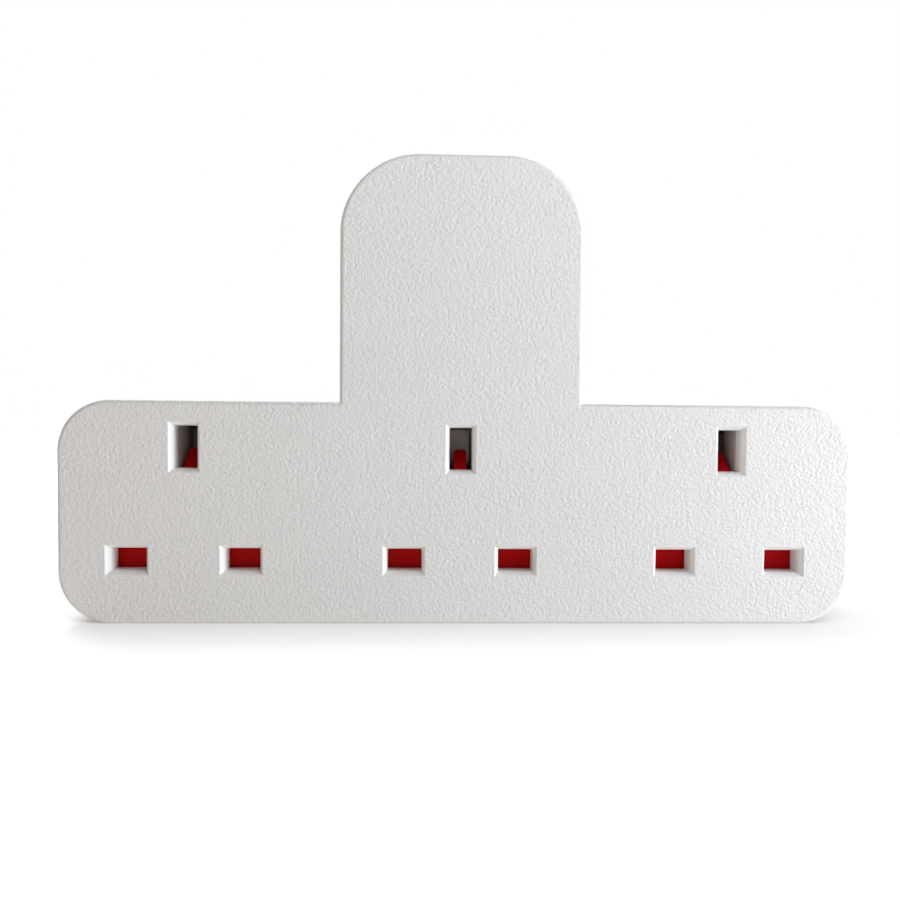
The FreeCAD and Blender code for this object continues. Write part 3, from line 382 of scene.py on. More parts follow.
guide_nylon_and_painted_shade, tree, shader = new_material("natural_nylon_guide_and_painted_shade", Base_Color=linear("#d0c7c0"), Roughness=0.5)
place = add_node(tree, "ShaderNodeTexCoord").outputs["Object"]
upright = add_node(tree, "ShaderNodeMapping", {"Vector": place, "Scale": (1.0, 1.0, 0.06)})
drag = add_node(tree, "ShaderNodeTexNoise", {"Vector": upright.outputs["Vector"], "Scale": 1 / DRAG_LINE,
                                             "Detail": 2.0})
colour = add_node(tree, "ShaderNodeMix", {"Factor": drag.outputs["Fac"], MIX_A: linear("#c4bab3"),
                                          MIX_B: linear("#dcd4ce")}, data_type="RGBA")
tree.links.new(colour.outputs[MIXED], shader.inputs["Base Color"])
print(guide_nylon_and_painted_shade.name)

# %% [markdown]
# ## Slots
# A slot guides a pin that comes a little askew, so its mouth is a bell that turns in to a straight throat. Boolean
# cuts would make the holes, but not such mouths, so each slot is a profile of its own: the mouth, the throat, the
# end of the pad behind it and the pad's outside. Three walls lead on from each earth slot to its contact, coloured
# a warm grey as painted shade.

# %% Slots and channels
FRONT_WALL = 2.4 * MM
LEAD_IN = 0.8 * MM
LEAD_IN_DEPTH = 1.9 * MM
PAD_MARGIN = 2.0 * MM
LIVE_SLOT = (6.86 * MM, 4.4 * MM, 4.9 * MM)      # width, height, and depth from the face to the pad's end
EARTH_SLOT = (4.5 * MM, 8.4 * MM, 3.9 * MM)
SLOTS = {"line": LIVE_SLOT, "neutral": LIVE_SLOT, "earth": EARTH_SLOT}
CHANNEL_WALL = 1.0 * MM
CHANNEL_RELIEF = 0.03 * MM
CHANNEL_ROOT = 0.4 * MM
CHANNEL_GAP = 0.5 * MM
CHANNEL_EDGE = 0.15 * MM
MOUTH_ROWS = 9


def slot_surfaces(x, z, width, height, depth):
    """One slot's liner, and the rings that it leaves in the face and in the ceiling.

    The mouth is an arc of radius r = (w^2 + d^2) / 2w, where w and d are the lead-in's width and depth, so the
    offset is r - r cos t, and the depth lies r sin t before the throat."""
    radius = (LEAD_IN ** 2 + LEAD_IN_DEPTH ** 2) / (2 * LEAD_IN)
    t = np.linspace(atan2(LEAD_IN_DEPTH, radius - LEAD_IN), 0, MOUTH_ROWS)
    mouth = np.stack([radius - radius * np.cos(t), FACE_Y + LEAD_IN_DEPTH - radius * np.sin(t)], axis=1)
    throat_end = FACE_Y + depth
    behind = [(PAD_MARGIN, throat_end), (PAD_MARGIN, FACE_Y + FRONT_WALL)]
    profile = np.concatenate([mouth, [(0.0, throat_end)], behind])
    corners = box_corners(x - width / 2, z - height / 2, x + width / 2, z + height / 2)
    points, quads = wall(corners, profile)
    return (points, quads, 1), outline(corners, [LEAD_IN])[0], outline(corners, [PAD_MARGIN])[0]


def channel_corners(x, z):
    """The walls left, right and above that lead from the earth slot to its contact, open below."""
    width, height, _ = EARTH_SLOT
    inside = width / 2 + CHANNEL_RELIEF
    outside = inside + CHANNEL_WALL
    low, high = z - height / 2, z + height / 2 + CHANNEL_RELIEF
    return [(x + u, v, 0.0) for u, v in (
        (-outside, low), (-inside, low), (-inside, high), (inside, high), (inside, low), (outside, low),
        (outside, high + CHANNEL_WALL), (-outside, high + CHANNEL_WALL))]


print("a slot's mouth is", round((LIVE_SLOT[0] + 2 * LEAD_IN) / MM, 2), "mm wide")

# %% [markdown]
# ## The front cover
# It is a deep shell with a wall of 2 to 2.4 mm. Its side wall, the rounded edge of the face and the inside are
# one profile carried round the tee. The face and the ceiling behind it are plates with nine holes, and the slots
# join them. The skin has the grain, what a pin touches is polished, and the channels are a warm grey of painted
# shade.

# %% Front cover
FACE_EDGE = 0.9 * MM
SIDE_WALL = 2.0 * MM
CORNER_STEPS = 24

face_edge = quarter_round(FACE_EDGE, 0.0, FACE_Y + FACE_EDGE, -1, steps=10)[::-1]
shell = np.concatenate([face_edge, [(0.0, SEAM_Y), (-SIDE_WALL, SEAM_Y), (-SIDE_WALL, FACE_Y + FRONT_WALL)]])
surfaces = [(*wall(TEE, shell, steps=CORNER_STEPS), 0)]
mouths, pads = [], []
for socket in SOCKETS:
    for kind, size in SLOTS.items():
        contact = centre(f"{kind}_contact_{socket}")
        liner, mouth, pad = slot_surfaces(contact.x, contact.z, *size)
        surfaces.append(liner)
        mouths.append(mouth)
        pads.append(pad)
channel_start = FACE_Y + EARTH_SLOT[2] - CHANNEL_ROOT
for socket in SOCKETS:
    contact = centre(f"earth_contact_{socket}")
    contact_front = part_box(f"earth_contact_{socket}")[0].y
    channel = block(channel_corners(contact.x, contact.z), channel_start, contact_front - CHANNEL_GAP, CHANNEL_EDGE)
    # material 2 colours the channel walls a warm grey: painted shade for the depth of the slot
    surfaces += [(points, faces, 2) for points, faces, _ in channel]
face_ring = outline(TEE, [-FACE_EDGE], CORNER_STEPS)[0]
ceiling_ring = outline(TEE, [-SIDE_WALL], CORNER_STEPS)[0]
surfaces.append((*plate([face_ring] + mouths, FACE_Y), 0))
surfaces.append((*plate([ceiling_ring] + pads, FACE_Y + FRONT_WALL), 1))
dress(make_piece("front_cover_moulding", surfaces, [eroded_plastic, polished_plastic, guide_nylon_and_painted_shade]), "front_cover")

# %% [markdown]
# ## Softened copies
# The back cover, the shutters and the fuse carrier are mouldings with ribs, ramps and holes, and the CAD already
# has their forms right. A moulding has no knife edges though, because steel tools wear and plastic shrinks. A copy
# of each is merged, and a small Bevel rounds every edge so that it catches light. A Weighted Normal modifier then
# keeps the flat faces flat.

# %% Copy a CAD node and round its edges
ROUND_ABOVE = radians(35)
SHARP_ABOVE = radians(40)
TOP_ZONE = 1.2 * MM
COVER_EDGE = 0.18 * MM


def softened(node, edge, materials, segments=2, sink=0.0):
    """A copy of a CAD node whose edges that turn by more than ROUND_ABOVE are rounded to the given width.

    Every point in the uppermost zone sinks: z' = z - sink for z > top - TOP_ZONE. So a nose ends lower while its
    foot stays in place."""
    shape = bmesh.new()
    shape.from_mesh(nodes[node].data)
    bmesh.ops.remove_doubles(shape, verts=shape.verts, dist=2 * SAME_POINT)
    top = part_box(node)[1].z
    for vertex in shape.verts:
        if vertex.co.z > top - TOP_ZONE:
            vertex.co.z -= sink
    mesh = bpy.data.meshes.new(node + "_softened")
    shape.to_mesh(mesh)
    shape.free()
    for material in materials:
        mesh.materials.append(material)
    mesh.polygons.foreach_set("material_index", np.zeros(len(mesh.polygons), int))
    mesh.shade_smooth()
    mesh.set_sharp_from_angle(angle=SHARP_ABOVE)
    piece = bpy.data.objects.new(node + "_softened", mesh)
    bpy.context.scene.collection.objects.link(piece)
    rounding = piece.modifiers.new("moulded edges", "BEVEL")
    rounding.width = edge
    rounding.segments = segments
    rounding.limit_method = "ANGLE"
    rounding.angle_limit = ROUND_ABOVE
    rounding.miter_outer = "MITER_ARC"
    weighted = piece.modifiers.new("flat faces stay flat", "WEIGHTED_NORMAL")
    weighted.keep_sharp = True
    print(piece.name, "faces before rounding", len(mesh.polygons))
    return piece


dress(softened("back_cover", COVER_EDGE, [eroded_plastic]), "back_cover")

# %% [markdown]
# ## Red shutters
# Each shutter is a slide, moulded in red nylon so that a closed socket is seen to be closed. An earth pin pushes
# its ramped nose down, and the wings clear the other two slots. The copy's nose ends half a millimetre lower than
# the CAD's, so that the earth slots show as little of it as they do on the real one. Pigment swirls slightly in
# the red, and the pins leave fine upright rubs on it, which is why the roughness is noise stretched along z.

# %% Shutter material and pieces
RUB_WIDTH = 0.5 * MM
PIGMENT_SWIRL = 6 * MM
SHUTTER_EDGE = 0.2 * MM
NOSE_SINK = 0.5 * MM

red_nylon, tree, shader = new_material("red_nylon_moulded", Base_Color=linear("#c20a10"), Roughness=0.42,
                                       Specular_IOR_Level=0.06)
place = add_node(tree, "ShaderNodeTexCoord").outputs["Object"]
tall = add_node(tree, "ShaderNodeMapping", {"Vector": place, "Scale": (1.0, 1.0, 0.12)})
rubs = add_node(tree, "ShaderNodeTexNoise", {"Vector": tall.outputs["Vector"], "Scale": 1 / RUB_WIDTH,
                                             "Detail": 3.0})
swirl = add_node(tree, "ShaderNodeTexNoise", {"Vector": place, "Scale": 1 / PIGMENT_SWIRL, "Detail": 2.0,
                                              "Distortion": 1.2})
colour = add_node(tree, "ShaderNodeMix", {"Factor": swirl.outputs["Fac"], MIX_A: linear("#ba080e"),
                                          MIX_B: linear("#cb0c13")}, data_type="RGBA")
tree.links.new(colour.outputs[MIXED], shader.inputs["Base Color"])
gloss = add_node(tree, "ShaderNodeMapRange", {"Value": rubs.outputs["Fac"], "To Min": 0.3, "To Max": 0.55})
tree.links.new(gloss.outputs["Result"], shader.inputs["Roughness"])
bump = add_node(tree, "ShaderNodeBump", {"Height": rubs.outputs["Fac"], "Strength": 0.12, "Distance": 0.05 * MM})
tree.links.new(bump.outputs["Normal"], shader.inputs["Normal"])

for socket in SOCKETS:
    node = f"shutter_{socket}"
    dress(softened(node, SHUTTER_EDGE, [red_nylon], sink=NOSE_SINK), node)

# %% [markdown]
# ## Metals
# Pins are cut from drawn brass bar, contacts and bus bars are stamped from rolled brass strip and tin-plated,
# springs are drawn steel wire, and screws are zinc-plated. Drawing and rolling leave fine lines along the metal,
# and handling leaves dull clouds. One function makes such a metal from two colours, the lines' width and
# direction, and a range of roughness. The lines are noise stretched along the metal, in the gloss and as height.
# Tin gives a pale warm grey, so a contact looks like a lit wall in its slot.

# %% A drawn or rolled metal
CLOUD = 5 * MM


def worked_metal(name, bright, dull, line_width, stretch, roughness):
    """Metal whose working lines are noise stretched along the bar, and whose tarnish is a slow cloud."""
    material, tree, shader = new_material(name, Base_Color=linear(bright), Metallic=1.0, Roughness=roughness[0])
    place = add_node(tree, "ShaderNodeTexCoord").outputs["Object"]
    along = add_node(tree, "ShaderNodeMapping", {"Vector": place, "Scale": stretch})
    lines = add_node(tree, "ShaderNodeTexNoise", {"Vector": along.outputs["Vector"], "Scale": 1 / line_width,
                                                  "Detail": 4.0, "Roughness": 0.6})
    cloud = add_node(tree, "ShaderNodeTexNoise", {"Vector": place, "Scale": 1 / CLOUD, "Detail": 4.0})
    colour = add_node(tree, "ShaderNodeMix", {"Factor": cloud.outputs["Fac"], MIX_A: linear(bright),
                                              MIX_B: linear(dull)}, data_type="RGBA")
    tree.links.new(colour.outputs[MIXED], shader.inputs["Base Color"])
    both = add_node(tree, "ShaderNodeMath", {0: lines.outputs["Fac"], 1: cloud.outputs["Fac"]},
                    operation="MULTIPLY")
    gloss = add_node(tree, "ShaderNodeMapRange", {"Value": both.outputs["Value"], "From Max": 0.5,
                                                  "To Min": roughness[0], "To Max": roughness[1]})
    tree.links.new(gloss.outputs["Result"], shader.inputs["Roughness"])
    bump = add_node(tree, "ShaderNodeBump", {"Height": lines.outputs["Fac"], "Strength": 0.25,
                                             "Distance": 0.03 * MM})
    tree.links.new(bump.outputs["Normal"], shader.inputs["Normal"])
    return material


drawn_brass = worked_metal("drawn_brass_bar", "#dcc592", "#bfa673", 0.35 * MM, (1.0, 0.08, 1.0), (0.28, 0.5))
tinned_brass = worked_metal("tin_plated_brass_strip", "#e0d2cc", "#c4b4ad", 0.4 * MM, (0.1, 1.0, 1.0), (0.35, 0.6))
music_wire = worked_metal("music_wire_steel", "#c9c9cb", "#a9a8a6", 0.15 * MM, (1.0, 1.0, 1.0), (0.22, 0.4))
zinc_plate = worked_metal("zinc_plated_steel", "#d3d5d8", "#b4b6b9", 0.3 * MM, (1.0, 1.0, 1.0), (0.25, 0.45))
nickel_plate = worked_metal("nickel_plated_caps", "#dcd7cb", "#c2bdb1", 0.3 * MM, (0.1, 1.0, 1.0), (0.15, 0.32))
print("metals:", [m.name for m in (drawn_brass, tinned_brass, music_wire, zinc_plate, nickel_plate)])

# %% [markdown]
# ## Bars that change their section
# Pins and sleeves are rectangular all along, but their width and height change in steps. A scaled cube would do
# for a plain bar, but not for head, neck and tip in one closed skin. So a bar is a row of rectangles along y,
# joined up, and a Bevel breaks the edges as tumbling does.

# %% A stepped bar
def stepped_bar(name, node, stations, material, edge, hollow=False):
    """Rectangles (half width, half height, y) joined in order: point = middle + (+-half width, y, +-half height).

    The ends are closed by faces, or when the bar is hollow by a last wall from the last rectangle to the first."""
    stations = np.array(stations)
    signs = np.array([(-1, -1), (1, -1), (1, 1), (-1, 1)])
    x, _, z = centre(node)
    points = np.empty((len(stations), 4, 3))
    points[..., 0] = x + signs[:, 0] * stations[:, :1]
    points[..., 1] = stations[:, 2:]
    points[..., 2] = z + signs[:, 1] * stations[:, 1:2]
    faces = grid_quads(len(stations), 4, looped=hollow)
    if not hollow:
        faces += [[3, 2, 1, 0], [4 * len(stations) - 4 + corner for corner in range(4)]]
    piece = make_piece(name, [(points.reshape(-1, 3), faces, 0)], [material])
    rounding = piece.modifiers.new("broken edges", "BEVEL")
    rounding.width = edge
    rounding.segments = 3
    piece.modifiers.move(1, 0)   # the Bevel goes before the Weighted Normal that make_piece added
    return piece


print("a hollow bar of 4 rectangles has", len(grid_quads(4, 4, looped=True)), "faces")

# %% [markdown]
# ## Plug pins
# A pin has a head inside the body, the bar, and a bevelled tip that finds its slot. Line and neutral are cut back
# to a neck that takes a sleeve. All three are drawn brass, with the bar's lines running to the tip.

# %% Pins
FLAT_HALF = np.array([6.35, 3.97]) / 2 * MM
EARTH_HALF = np.array([3.97, 7.92]) / 2 * MM
SLEEVE_WALL = 0.5 * MM
TIP_BEVEL = 1.1 * MM
PIN_EDGE = 0.25 * MM
BACK_WALL_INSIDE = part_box("line_pin_sleeve")[0].y
SLEEVE_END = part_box("line_pin_sleeve")[1].y
EARTH_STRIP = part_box("earth_bus")[0].y


def pin_stations(node, half, neck, shoulder):
    """Head inside the body, an optional neck to the end of the sleeve, the bar and its bevelled tip."""
    low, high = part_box(node)
    head = ((high.x - low.x) / 2, (high.z - low.z) / 2)
    rows = [(*head, low.y), (*head, shoulder)]
    if neck:
        rows += [(*(half - neck), shoulder), (*(half - neck), SLEEVE_END), (*half, SLEEVE_END)]
    else:
        rows += [(*half, shoulder)]
    return rows + [(*half, high.y - TIP_BEVEL), (*(half - TIP_BEVEL), high.y)]


for node in ("line_pin", "neutral_pin"):
    stations = pin_stations(node, FLAT_HALF, SLEEVE_WALL, BACK_WALL_INSIDE)
    dress(stepped_bar(node + "_bar", node, stations, drawn_brass, PIN_EDGE), node)
stations = pin_stations("earth_pin", EARTH_HALF, 0.0, EARTH_STRIP)
dress(stepped_bar("earth_pin_bar", "earth_pin", stations, drawn_brass, PIN_EDGE), "earth_pin")

# %% [markdown]
# Black nylon is moulded on the necks, flush with the tips, so that no live metal shows when the plug stands half
# out. A sleeve is the same row of rectangles, out along its outside and back along its inside. The nylon is
# slightly uneven in gloss, from the way it flowed round the neck.

# %% Sleeves
FLOW_LINE = 1.2 * MM
SLEEVE_EDGE = 0.12 * MM

black_nylon, tree, shader = new_material("black_nylon_sleeve", Base_Color=linear("#1b1b1c"), Roughness=0.4)
place = add_node(tree, "ShaderNodeTexCoord").outputs["Object"]
flow = add_node(tree, "ShaderNodeTexNoise", {"Vector": place, "Scale": 1 / FLOW_LINE, "Detail": 3.0,
                                             "Distortion": 0.8})
gloss = add_node(tree, "ShaderNodeMapRange", {"Value": flow.outputs["Fac"], "To Min": 0.3, "To Max": 0.55})
tree.links.new(gloss.outputs["Result"], shader.inputs["Roughness"])
bump = add_node(tree, "ShaderNodeBump", {"Height": flow.outputs["Fac"], "Strength": 0.2, "Distance": 0.05 * MM})
tree.links.new(bump.outputs["Normal"], shader.inputs["Normal"])

inside = FLAT_HALF - SLEEVE_WALL
stations = [(*FLAT_HALF, BACK_WALL_INSIDE), (*FLAT_HALF, SLEEVE_END), (*inside, SLEEVE_END),
            (*inside, BACK_WALL_INSIDE)]
for node in ("line_pin_sleeve", "neutral_pin_sleeve"):
    sleeve = stepped_bar(node + "_moulding", node, stations, black_nylon, SLEEVE_EDGE, hollow=True)
    dress(sleeve, node)

# %% [markdown]
# ## Return springs
# Each shutter is pushed up by a coil of half-millimetre music wire. A real coil has closed ends, where the pitch
# falls to the wire's own thickness. The wire's middle runs on a helix whose height is t - b sin(2 pi t) / (2 pi),
# which is shallow at both ends. A curve with a round bevel would do between them, but it has no such ends. The
# spring shortens with its shutter, so it is squashed towards its foot.

# %% Springs
WIRE = 0.5 * MM
TURNS = 8.5
END_FLATTENING = 0.62


def coil_surface(foot, top, x, y, radius, steps=56, round_steps=8):
    """Tube round a helix: c(t) = (x + R cos a, y + R sin a, z(t)) with a = 2 pi turns t.

    Each section is the circle c + w (n cos f + b sin f), where n points away from the coil's axis, and b is
    square to n and to the wire."""
    t = np.linspace(0, 1, int(TURNS * steps) + 1)
    angle = 2 * pi * TURNS * t
    height = foot + WIRE / 2 + (top - foot - WIRE) * (t - END_FLATTENING * np.sin(2 * pi * t) / (2 * pi))
    axis = np.stack([x + radius * np.cos(angle), y + radius * np.sin(angle), height], -1)
    along = np.gradient(axis, axis=0)
    along /= np.linalg.norm(along, axis=1, keepdims=True)
    away = np.stack([np.cos(angle), np.sin(angle), np.zeros_like(angle)], -1)
    binormal = np.cross(along, away)
    f = np.linspace(0, 2 * pi, round_steps, endpoint=False)[None, :, None]
    points = axis[:, None] + WIRE / 2 * (away[:, None] * np.cos(f) + binormal[:, None] * np.sin(f))
    last = (len(t) - 1) * round_steps
    ends = [list(range(round_steps)), list(range(last, last + round_steps))]
    return points.reshape(-1, 3), grid_quads(len(t), round_steps) + ends


for socket in SOCKETS:
    node = f"shutter_spring_{socket}"
    low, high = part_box(node)
    middle = centre(node)
    points, faces = coil_surface(low.z, high.z, middle.x, middle.y, (high.x - low.x - WIRE) / 2)
    spring = make_piece(f"coil_{socket}", [(points, faces, 0)], [music_wire], smooth_below=60)
    dress(spring, node)
    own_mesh(spring)

# %% [markdown]
# ## Screws
# Four zinc-plated screws hold the covers together. Their heads are low domes with a cross recess that gets deeper
# to its middle, and a coarse thread winds round the shank. The Screw modifier could wind the thread but would
# leave the head apart, so the whole screw is one surface of angle and distance along its outline: the recess
# lowers the dome, and the thread is a cosine whose phase turns with the angle.

# %% Screws
HEAD_RADIUS = 2.4 * MM
HEAD_HEIGHT = 1.7 * MM
DOME = 0.35 * MM
DOME_SHARE = 0.93        # the share of the radius where the dome ends and the rim begins
RIM_DROP = 1.5 * DOME
RECESS_HALF_LENGTH = 1.4 * MM
RECESS_HALF_WIDTH = 0.4 * MM
RECESS_DEPTH = 0.9 * MM
RECESS_WALL = 0.1 * MM
RECESS_RISE = 0.67
SHANK_RADIUS = 1.15 * MM
THREAD_PITCH = 1.3 * MM
THREAD_DEPTH = 0.28 * MM
TIP_LENGTH = 1.5 * MM
AROUND, DOME_ROWS, THREAD_ROWS = 72, 26, 60


def recess_depth(u, v):
    """Depth of the cross at (u, v): depth * (1 - rise * distance / half length) within the nearer arm, whose wall
    slopes in over RECESS_WALL. So the floor rises from the full depth to a third of it at the arms' ends."""
    arm_u = np.minimum(RECESS_HALF_LENGTH - abs(u), RECESS_HALF_WIDTH - abs(v))
    arm_v = np.minimum(RECESS_HALF_LENGTH - abs(v), RECESS_HALF_WIDTH - abs(u))
    within = np.clip(np.maximum(arm_u, arm_v) / RECESS_WALL + 0.5, 0, 1)
    return within * RECESS_DEPTH * (1 - RECESS_RISE * np.hypot(u, v) / RECESS_HALF_LENGTH)


def screw_surface(x, z, top, tip):
    """Rows of radius and height round the screw's axis: domed head, rim, neck, threaded shank and point.

    The dome is top - dome * (r / R)^2 less the recess, and the thread's radius at height s and angle a is
    shank - depth * (1 - cos(2 pi s / pitch - a)) / 2."""
    angle = np.linspace(0, 2 * pi, AROUND, endpoint=False)[None]
    r = np.linspace(0, HEAD_RADIUS * DOME_SHARE, DOME_ROWS)[:, None]
    dome = top - DOME * (r / HEAD_RADIUS) ** 2 - recess_depth(r * np.cos(angle), r * np.sin(angle))
    under = top - HEAD_HEIGHT
    rim = [(HEAD_RADIUS, top - RIM_DROP), (HEAD_RADIUS, under), (SHANK_RADIUS, under)]
    s = np.linspace(under, tip + TIP_LENGTH, THREAD_ROWS)[:, None]
    thread = SHANK_RADIUS - THREAD_DEPTH * (0.5 - 0.5 * np.cos(2 * pi * s / THREAD_PITCH - angle))
    rim_radius, rim_height = (np.repeat(column, AROUND).reshape(-1, AROUND) for column in zip(*rim))
    radius = np.concatenate([np.broadcast_to(r, (DOME_ROWS, AROUND)), rim_radius, thread, np.zeros((1, AROUND))])
    height = np.concatenate([dome, rim_height, np.broadcast_to(s, (THREAD_ROWS, AROUND)),
                             np.full((1, AROUND), tip)])
    points = np.stack([x + radius * np.cos(angle), height, z + radius * np.sin(angle)], -1)
    return points.reshape(-1, 3), grid_quads(len(points), AROUND)


for node in ("screw_stem_left", "screw_stem_right", "screw_bar_left", "screw_bar_right"):
    low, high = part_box(node)
    points, faces = screw_surface(centre(node).x, centre(node).z, high.y, low.y)
    screw = make_piece(node + "_turned", [(points, faces, 0)], [zinc_plate], smooth_below=50)
    dress(screw, node)

# %% [markdown]
# ## Fuse and its carrier
# The fuse is a ceramic tube with a plated cap pressed on each end, and it rides out of the back in a snap-in
# carrier. The carrier is a softened copy in the covers' plastic. Tube and caps are blocks on a circle, with the
# rounded rims that drawing gives a cap and glazing gives a tube. Fired steatite is off-white with faint specks
# under a soft shine, and the nickel of the caps is a little warm and nearly a mirror.

# %% Fuse pieces
CAP_EDGE = 0.35 * MM
CAP_LENGTH = 5.6 * MM
TUBE_EDGE = 0.2 * MM
CARRIER_EDGE = 0.25 * MM
CLAY_SPECK = 0.8 * MM

fired_ceramic, tree, shader = new_material("fired_steatite_tube", Base_Color=linear("#e6e2d6"), Roughness=0.35,
                                           IOR=1.6)
place = add_node(tree, "ShaderNodeTexCoord").outputs["Object"]
speck = add_node(tree, "ShaderNodeTexNoise", {"Vector": place, "Scale": 1 / CLAY_SPECK, "Detail": 4.0})
colour = add_node(tree, "ShaderNodeMix", {"Factor": speck.outputs["Fac"], MIX_A: linear("#ded9cb"),
                                          MIX_B: linear("#ece9df")}, data_type="RGBA")
tree.links.new(colour.outputs[MIXED], shader.inputs["Base Color"])
bump = add_node(tree, "ShaderNodeBump", {"Height": speck.outputs["Fac"], "Strength": 0.15, "Distance": 0.05 * MM})
tree.links.new(bump.outputs["Normal"], shader.inputs["Normal"])


def turned_rod(node, radius, low, high, edge):
    """A closed round rod along z between two heights, with rounded rims."""
    middle = centre(node)
    return block(circle_corners(middle.x, middle.y, radius), low, high, edge, axis="z", steps=8)


low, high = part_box("fuse_body")
tube_surfaces = turned_rod("fuse_body", (high.x - low.x) / 2, low.z, high.z, TUBE_EDGE)
dress(make_piece("fuse_tube", tube_surfaces, [fired_ceramic], smooth_below=50), "fuse_body")
low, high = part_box("fuse_caps")
cap_radius = (high.x - low.x) / 2
cap_surfaces = turned_rod("fuse_caps", cap_radius, low.z, low.z + CAP_LENGTH, CAP_EDGE)
cap_surfaces += turned_rod("fuse_caps", cap_radius, high.z - CAP_LENGTH, high.z, CAP_EDGE)
dress(make_piece("fuse_cap_pair", cap_surfaces, [nickel_plate], smooth_below=50), "fuse_caps")
dress(softened("fuse_carrier", CARRIER_EDGE, [eroded_plastic], segments=3), "fuse_carrier")

# %% [markdown]
# ## Hidden strips and guides
# The contacts, the bus bars, the fuse clips and the guide plates keep their CAD shapes, because folded strip and
# flat plates are what they are. They can be seen only down the slots and behind the fuse carrier. The strips take
# the tin-plated finish, and the guides their warm grey nylon, the colour that paints shade on the walls behind an
# earth slot.

# %% Materials on the kept CAD nodes
strips = [name for name in nodes if "contact" in name or name.endswith("_bus") or name.startswith("fuse_clip")]
guides = [name for name in nodes if name.startswith("shutter_guide")]
for names, material in ((strips, tinned_brass), (guides, guide_nylon_and_painted_shade)):
    for name in names:
        for material_slot in nodes[name].material_slots:
            material_slot.material = material
print(len(strips), "tin-plated strips,", len(guides), "guides")

# %% [markdown]
# ## Floor, light and camera
# The adapter stands on a pale light table in a white room. The table and the world show white to the camera, to
# reflections and through glass, while as light they stay moderate, so that the white plastic keeps its tone. Where
# the body stands close, a painted shadow darkens the table as seen, which gets whiter with distance until it meets
# the white world.

# %% Floor and world
FLOOR_HALF = 2.5                     # metres, as the lengths below
NEAR, FAR = 0.15, 0.6                # from here to there the table's tone goes from FLOOR_SEEN to white
# the table's painted contact shadow, made with Ambient Occlusion, reaches this far
PAINTED_SHADOW_REACH = 0.03                # the body darkens the table within this distance
FLOOR_SEEN, FLOOR_GLOW = 0.72, 0.38  # the table's strength as seen near the body, and as a light
ROOM_LIGHT = 0.06                    # the world's strength as a light


def seen_directly(tree):
    """1 on camera, glossy and transmission rays, and 0 on the others."""
    path = add_node(tree, "ShaderNodeLightPath")
    either = add_node(tree, "ShaderNodeMath", {0: path.outputs["Is Camera Ray"], 1: path.outputs["Is Glossy Ray"]},
                      operation="MAXIMUM")
    return add_node(tree, "ShaderNodeMath", {0: either.outputs["Value"], 1: path.outputs["Is Transmission Ray"]},
                    operation="MAXIMUM").outputs["Value"]


light_table, tree, shader = new_material("white_acrylic_light_table", Base_Color=linear("#c4c4c4"), Roughness=0.6)
place = add_node(tree, "ShaderNodeTexCoord").outputs["Object"]
away = add_node(tree, "ShaderNodeVectorMath", {0: place}, operation="LENGTH")
seen = add_node(tree, "ShaderNodeMapRange", {"Value": away.outputs["Value"], "From Min": NEAR, "From Max": FAR,
                                             "To Min": FLOOR_SEEN, "To Max": 1.0})
# Ambient Occlusion darkens the table as the camera sees it: a painted contact shadow
painted_contact_shadow = add_node(tree, "ShaderNodeAmbientOcclusion", {"Distance": PAINTED_SHADOW_REACH}, samples=8)
seen_with_painted_shadow = add_node(tree, "ShaderNodeMath", {0: seen.outputs["Result"], 1: painted_contact_shadow.outputs["AO"]},
                  operation="MULTIPLY")
glow = add_node(tree, "ShaderNodeMapRange", {"Value": seen_directly(tree), "To Min": FLOOR_GLOW,
                                             "To Max": seen_with_painted_shadow.outputs["Value"]})
glow_colour = add_node(tree, "ShaderNodeMix", {"Factor": seen_directly(tree), MIX_A: linear("#fffbf4"),
                                               MIX_B: linear("#ffffff")}, data_type="RGBA")
tree.links.new(glow_colour.outputs[MIXED], shader.inputs["Emission Color"])
tree.links.new(glow.outputs["Result"], shader.inputs["Emission Strength"])
floor_mesh = bpy.data.meshes.new("table_top")
signs = ((-1, -1), (1, -1), (1, 1), (-1, 1))
floor_mesh.from_pydata([(FLOOR_HALF * u, FLOOR_HALF * v, BAR_BOTTOM) for u, v in signs], [], [(0, 1, 2, 3)])
floor_mesh.materials.append(light_table)
floor = bpy.data.objects.new("table_top", floor_mesh)
bpy.context.scene.collection.objects.link(floor)

world = bpy.data.worlds.new("white_room")
world.use_nodes = True
bpy.context.scene.world = world
tree = world.node_tree
background = tree.nodes["Background"]
strength = add_node(tree, "ShaderNodeMapRange", {"Value": seen_directly(tree), "To Min": ROOM_LIGHT, "To Max": 1.0})
background.inputs["Color"].default_value = (1.0, 1.0, 1.0, 1.0)
tree.links.new(strength.outputs["Result"], background.inputs["Strength"])
print("room light", ROOM_LIGHT)

# %% [markdown]
# The face gets lighter from its lower left to its upper right, and the walls of the slots that look right are the
# brightest. A strong window low on the right does that, since it grazes the face and meets those walls squarely,
# and it also brings out the grain. A small lamp near the right end, one above the stem, a weak warm one on the
# left and one behind fill in the rest. Their powers were found by rendering each light alone and adding up shares.

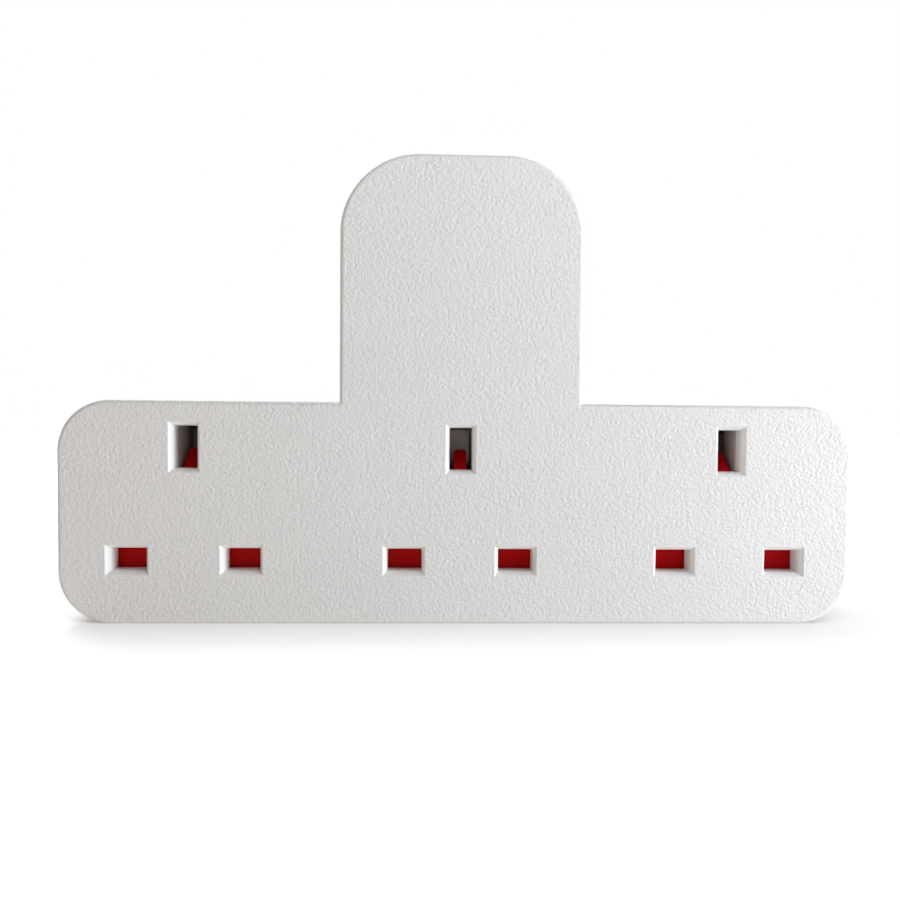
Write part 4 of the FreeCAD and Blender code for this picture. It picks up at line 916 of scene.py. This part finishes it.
# %% Lamps
def soft_lamp(name, place, aim, width, height, power, colour):
    """A rectangular area lamp that looks from its place to the aim, in metres, with its power in watts."""
    light = bpy.data.lights.new(name, "AREA")
    light.shape = "RECTANGLE"
    light.size = width
    light.size_y = height
    light.energy = power
    light.color = linear(colour)[:3]
    lamp = bpy.data.objects.new(name, light)
    lamp.location = place
    lamp.rotation_mode = "QUATERNION"
    lamp.rotation_quaternion = (Vector(aim) - Vector(place)).to_track_quat("-Z", "Y")
    lamp.visible_camera = False
    bpy.context.scene.collection.objects.link(lamp)


soft_lamp("window_right", (0.60, -0.24, 0.03), (0.02, -0.02, -0.03), 0.3, 0.2, 2.2, "#f7faff")
soft_lamp("lamp_near_right", (0.22, -0.14, -0.045), (0.08, -0.03, -0.045), 0.08, 0.04, 0.19, "#eff2ff")
soft_lamp("lamp_top", (0.06, -0.15, 0.17), (0.0, -0.02, 0.0), 0.08, 0.06, 0.14, "#fafeff")
soft_lamp("wall_left", (-0.35, -0.30, 0.02), (-0.02, -0.02, -0.03), 0.3, 0.15, 0.09, "#ffcf96")
soft_lamp("window_back", (-0.25, 0.35, 0.45), (0.0, 0.0, -0.03), 0.4, 0.4, 3.0, "#ffffff")

# %% [markdown]
# The view is from close in front, a little left of the middle, so the slots on the right show their right walls
# and the slots on the left show their left ones. The camera's place, its three angles and its focal length were
# fitted to the slots' corners. The focal length and the point on the lens's axis are in pixels of a 900 wide frame.

# %% Camera
CAMERA_PLACE = (-4.66 * MM, -193.5 * MM, -27.81 * MM)
CAMERA_TILT = radians(87.824)
CAMERA_ROLL = radians(-0.543)
CAMERA_PAN = radians(-2.216)
FRAME_PIXELS = 900
FOCAL_PIXELS = 842.6
AXIS_PIXEL = (470.3, 452.8)

camera_data = bpy.data.cameras.new("close_front_camera")
camera_data.lens = FOCAL_PIXELS / FRAME_PIXELS * camera_data.sensor_width
camera_data.shift_x = (FRAME_PIXELS / 2 - AXIS_PIXEL[0]) / FRAME_PIXELS
camera_data.shift_y = (AXIS_PIXEL[1] - FRAME_PIXELS / 2) / FRAME_PIXELS
camera_data.clip_start = 0.01
camera = bpy.data.objects.new("close_front_camera", camera_data)
camera.location = CAMERA_PLACE
camera.rotation_euler = (CAMERA_TILT, CAMERA_ROLL, CAMERA_PAN)
bpy.context.scene.collection.objects.link(camera)
bpy.context.scene.camera = camera
bpy.context.scene.view_settings.view_transform = "Standard"
print("lens", round(camera_data.lens, 2), "mm")
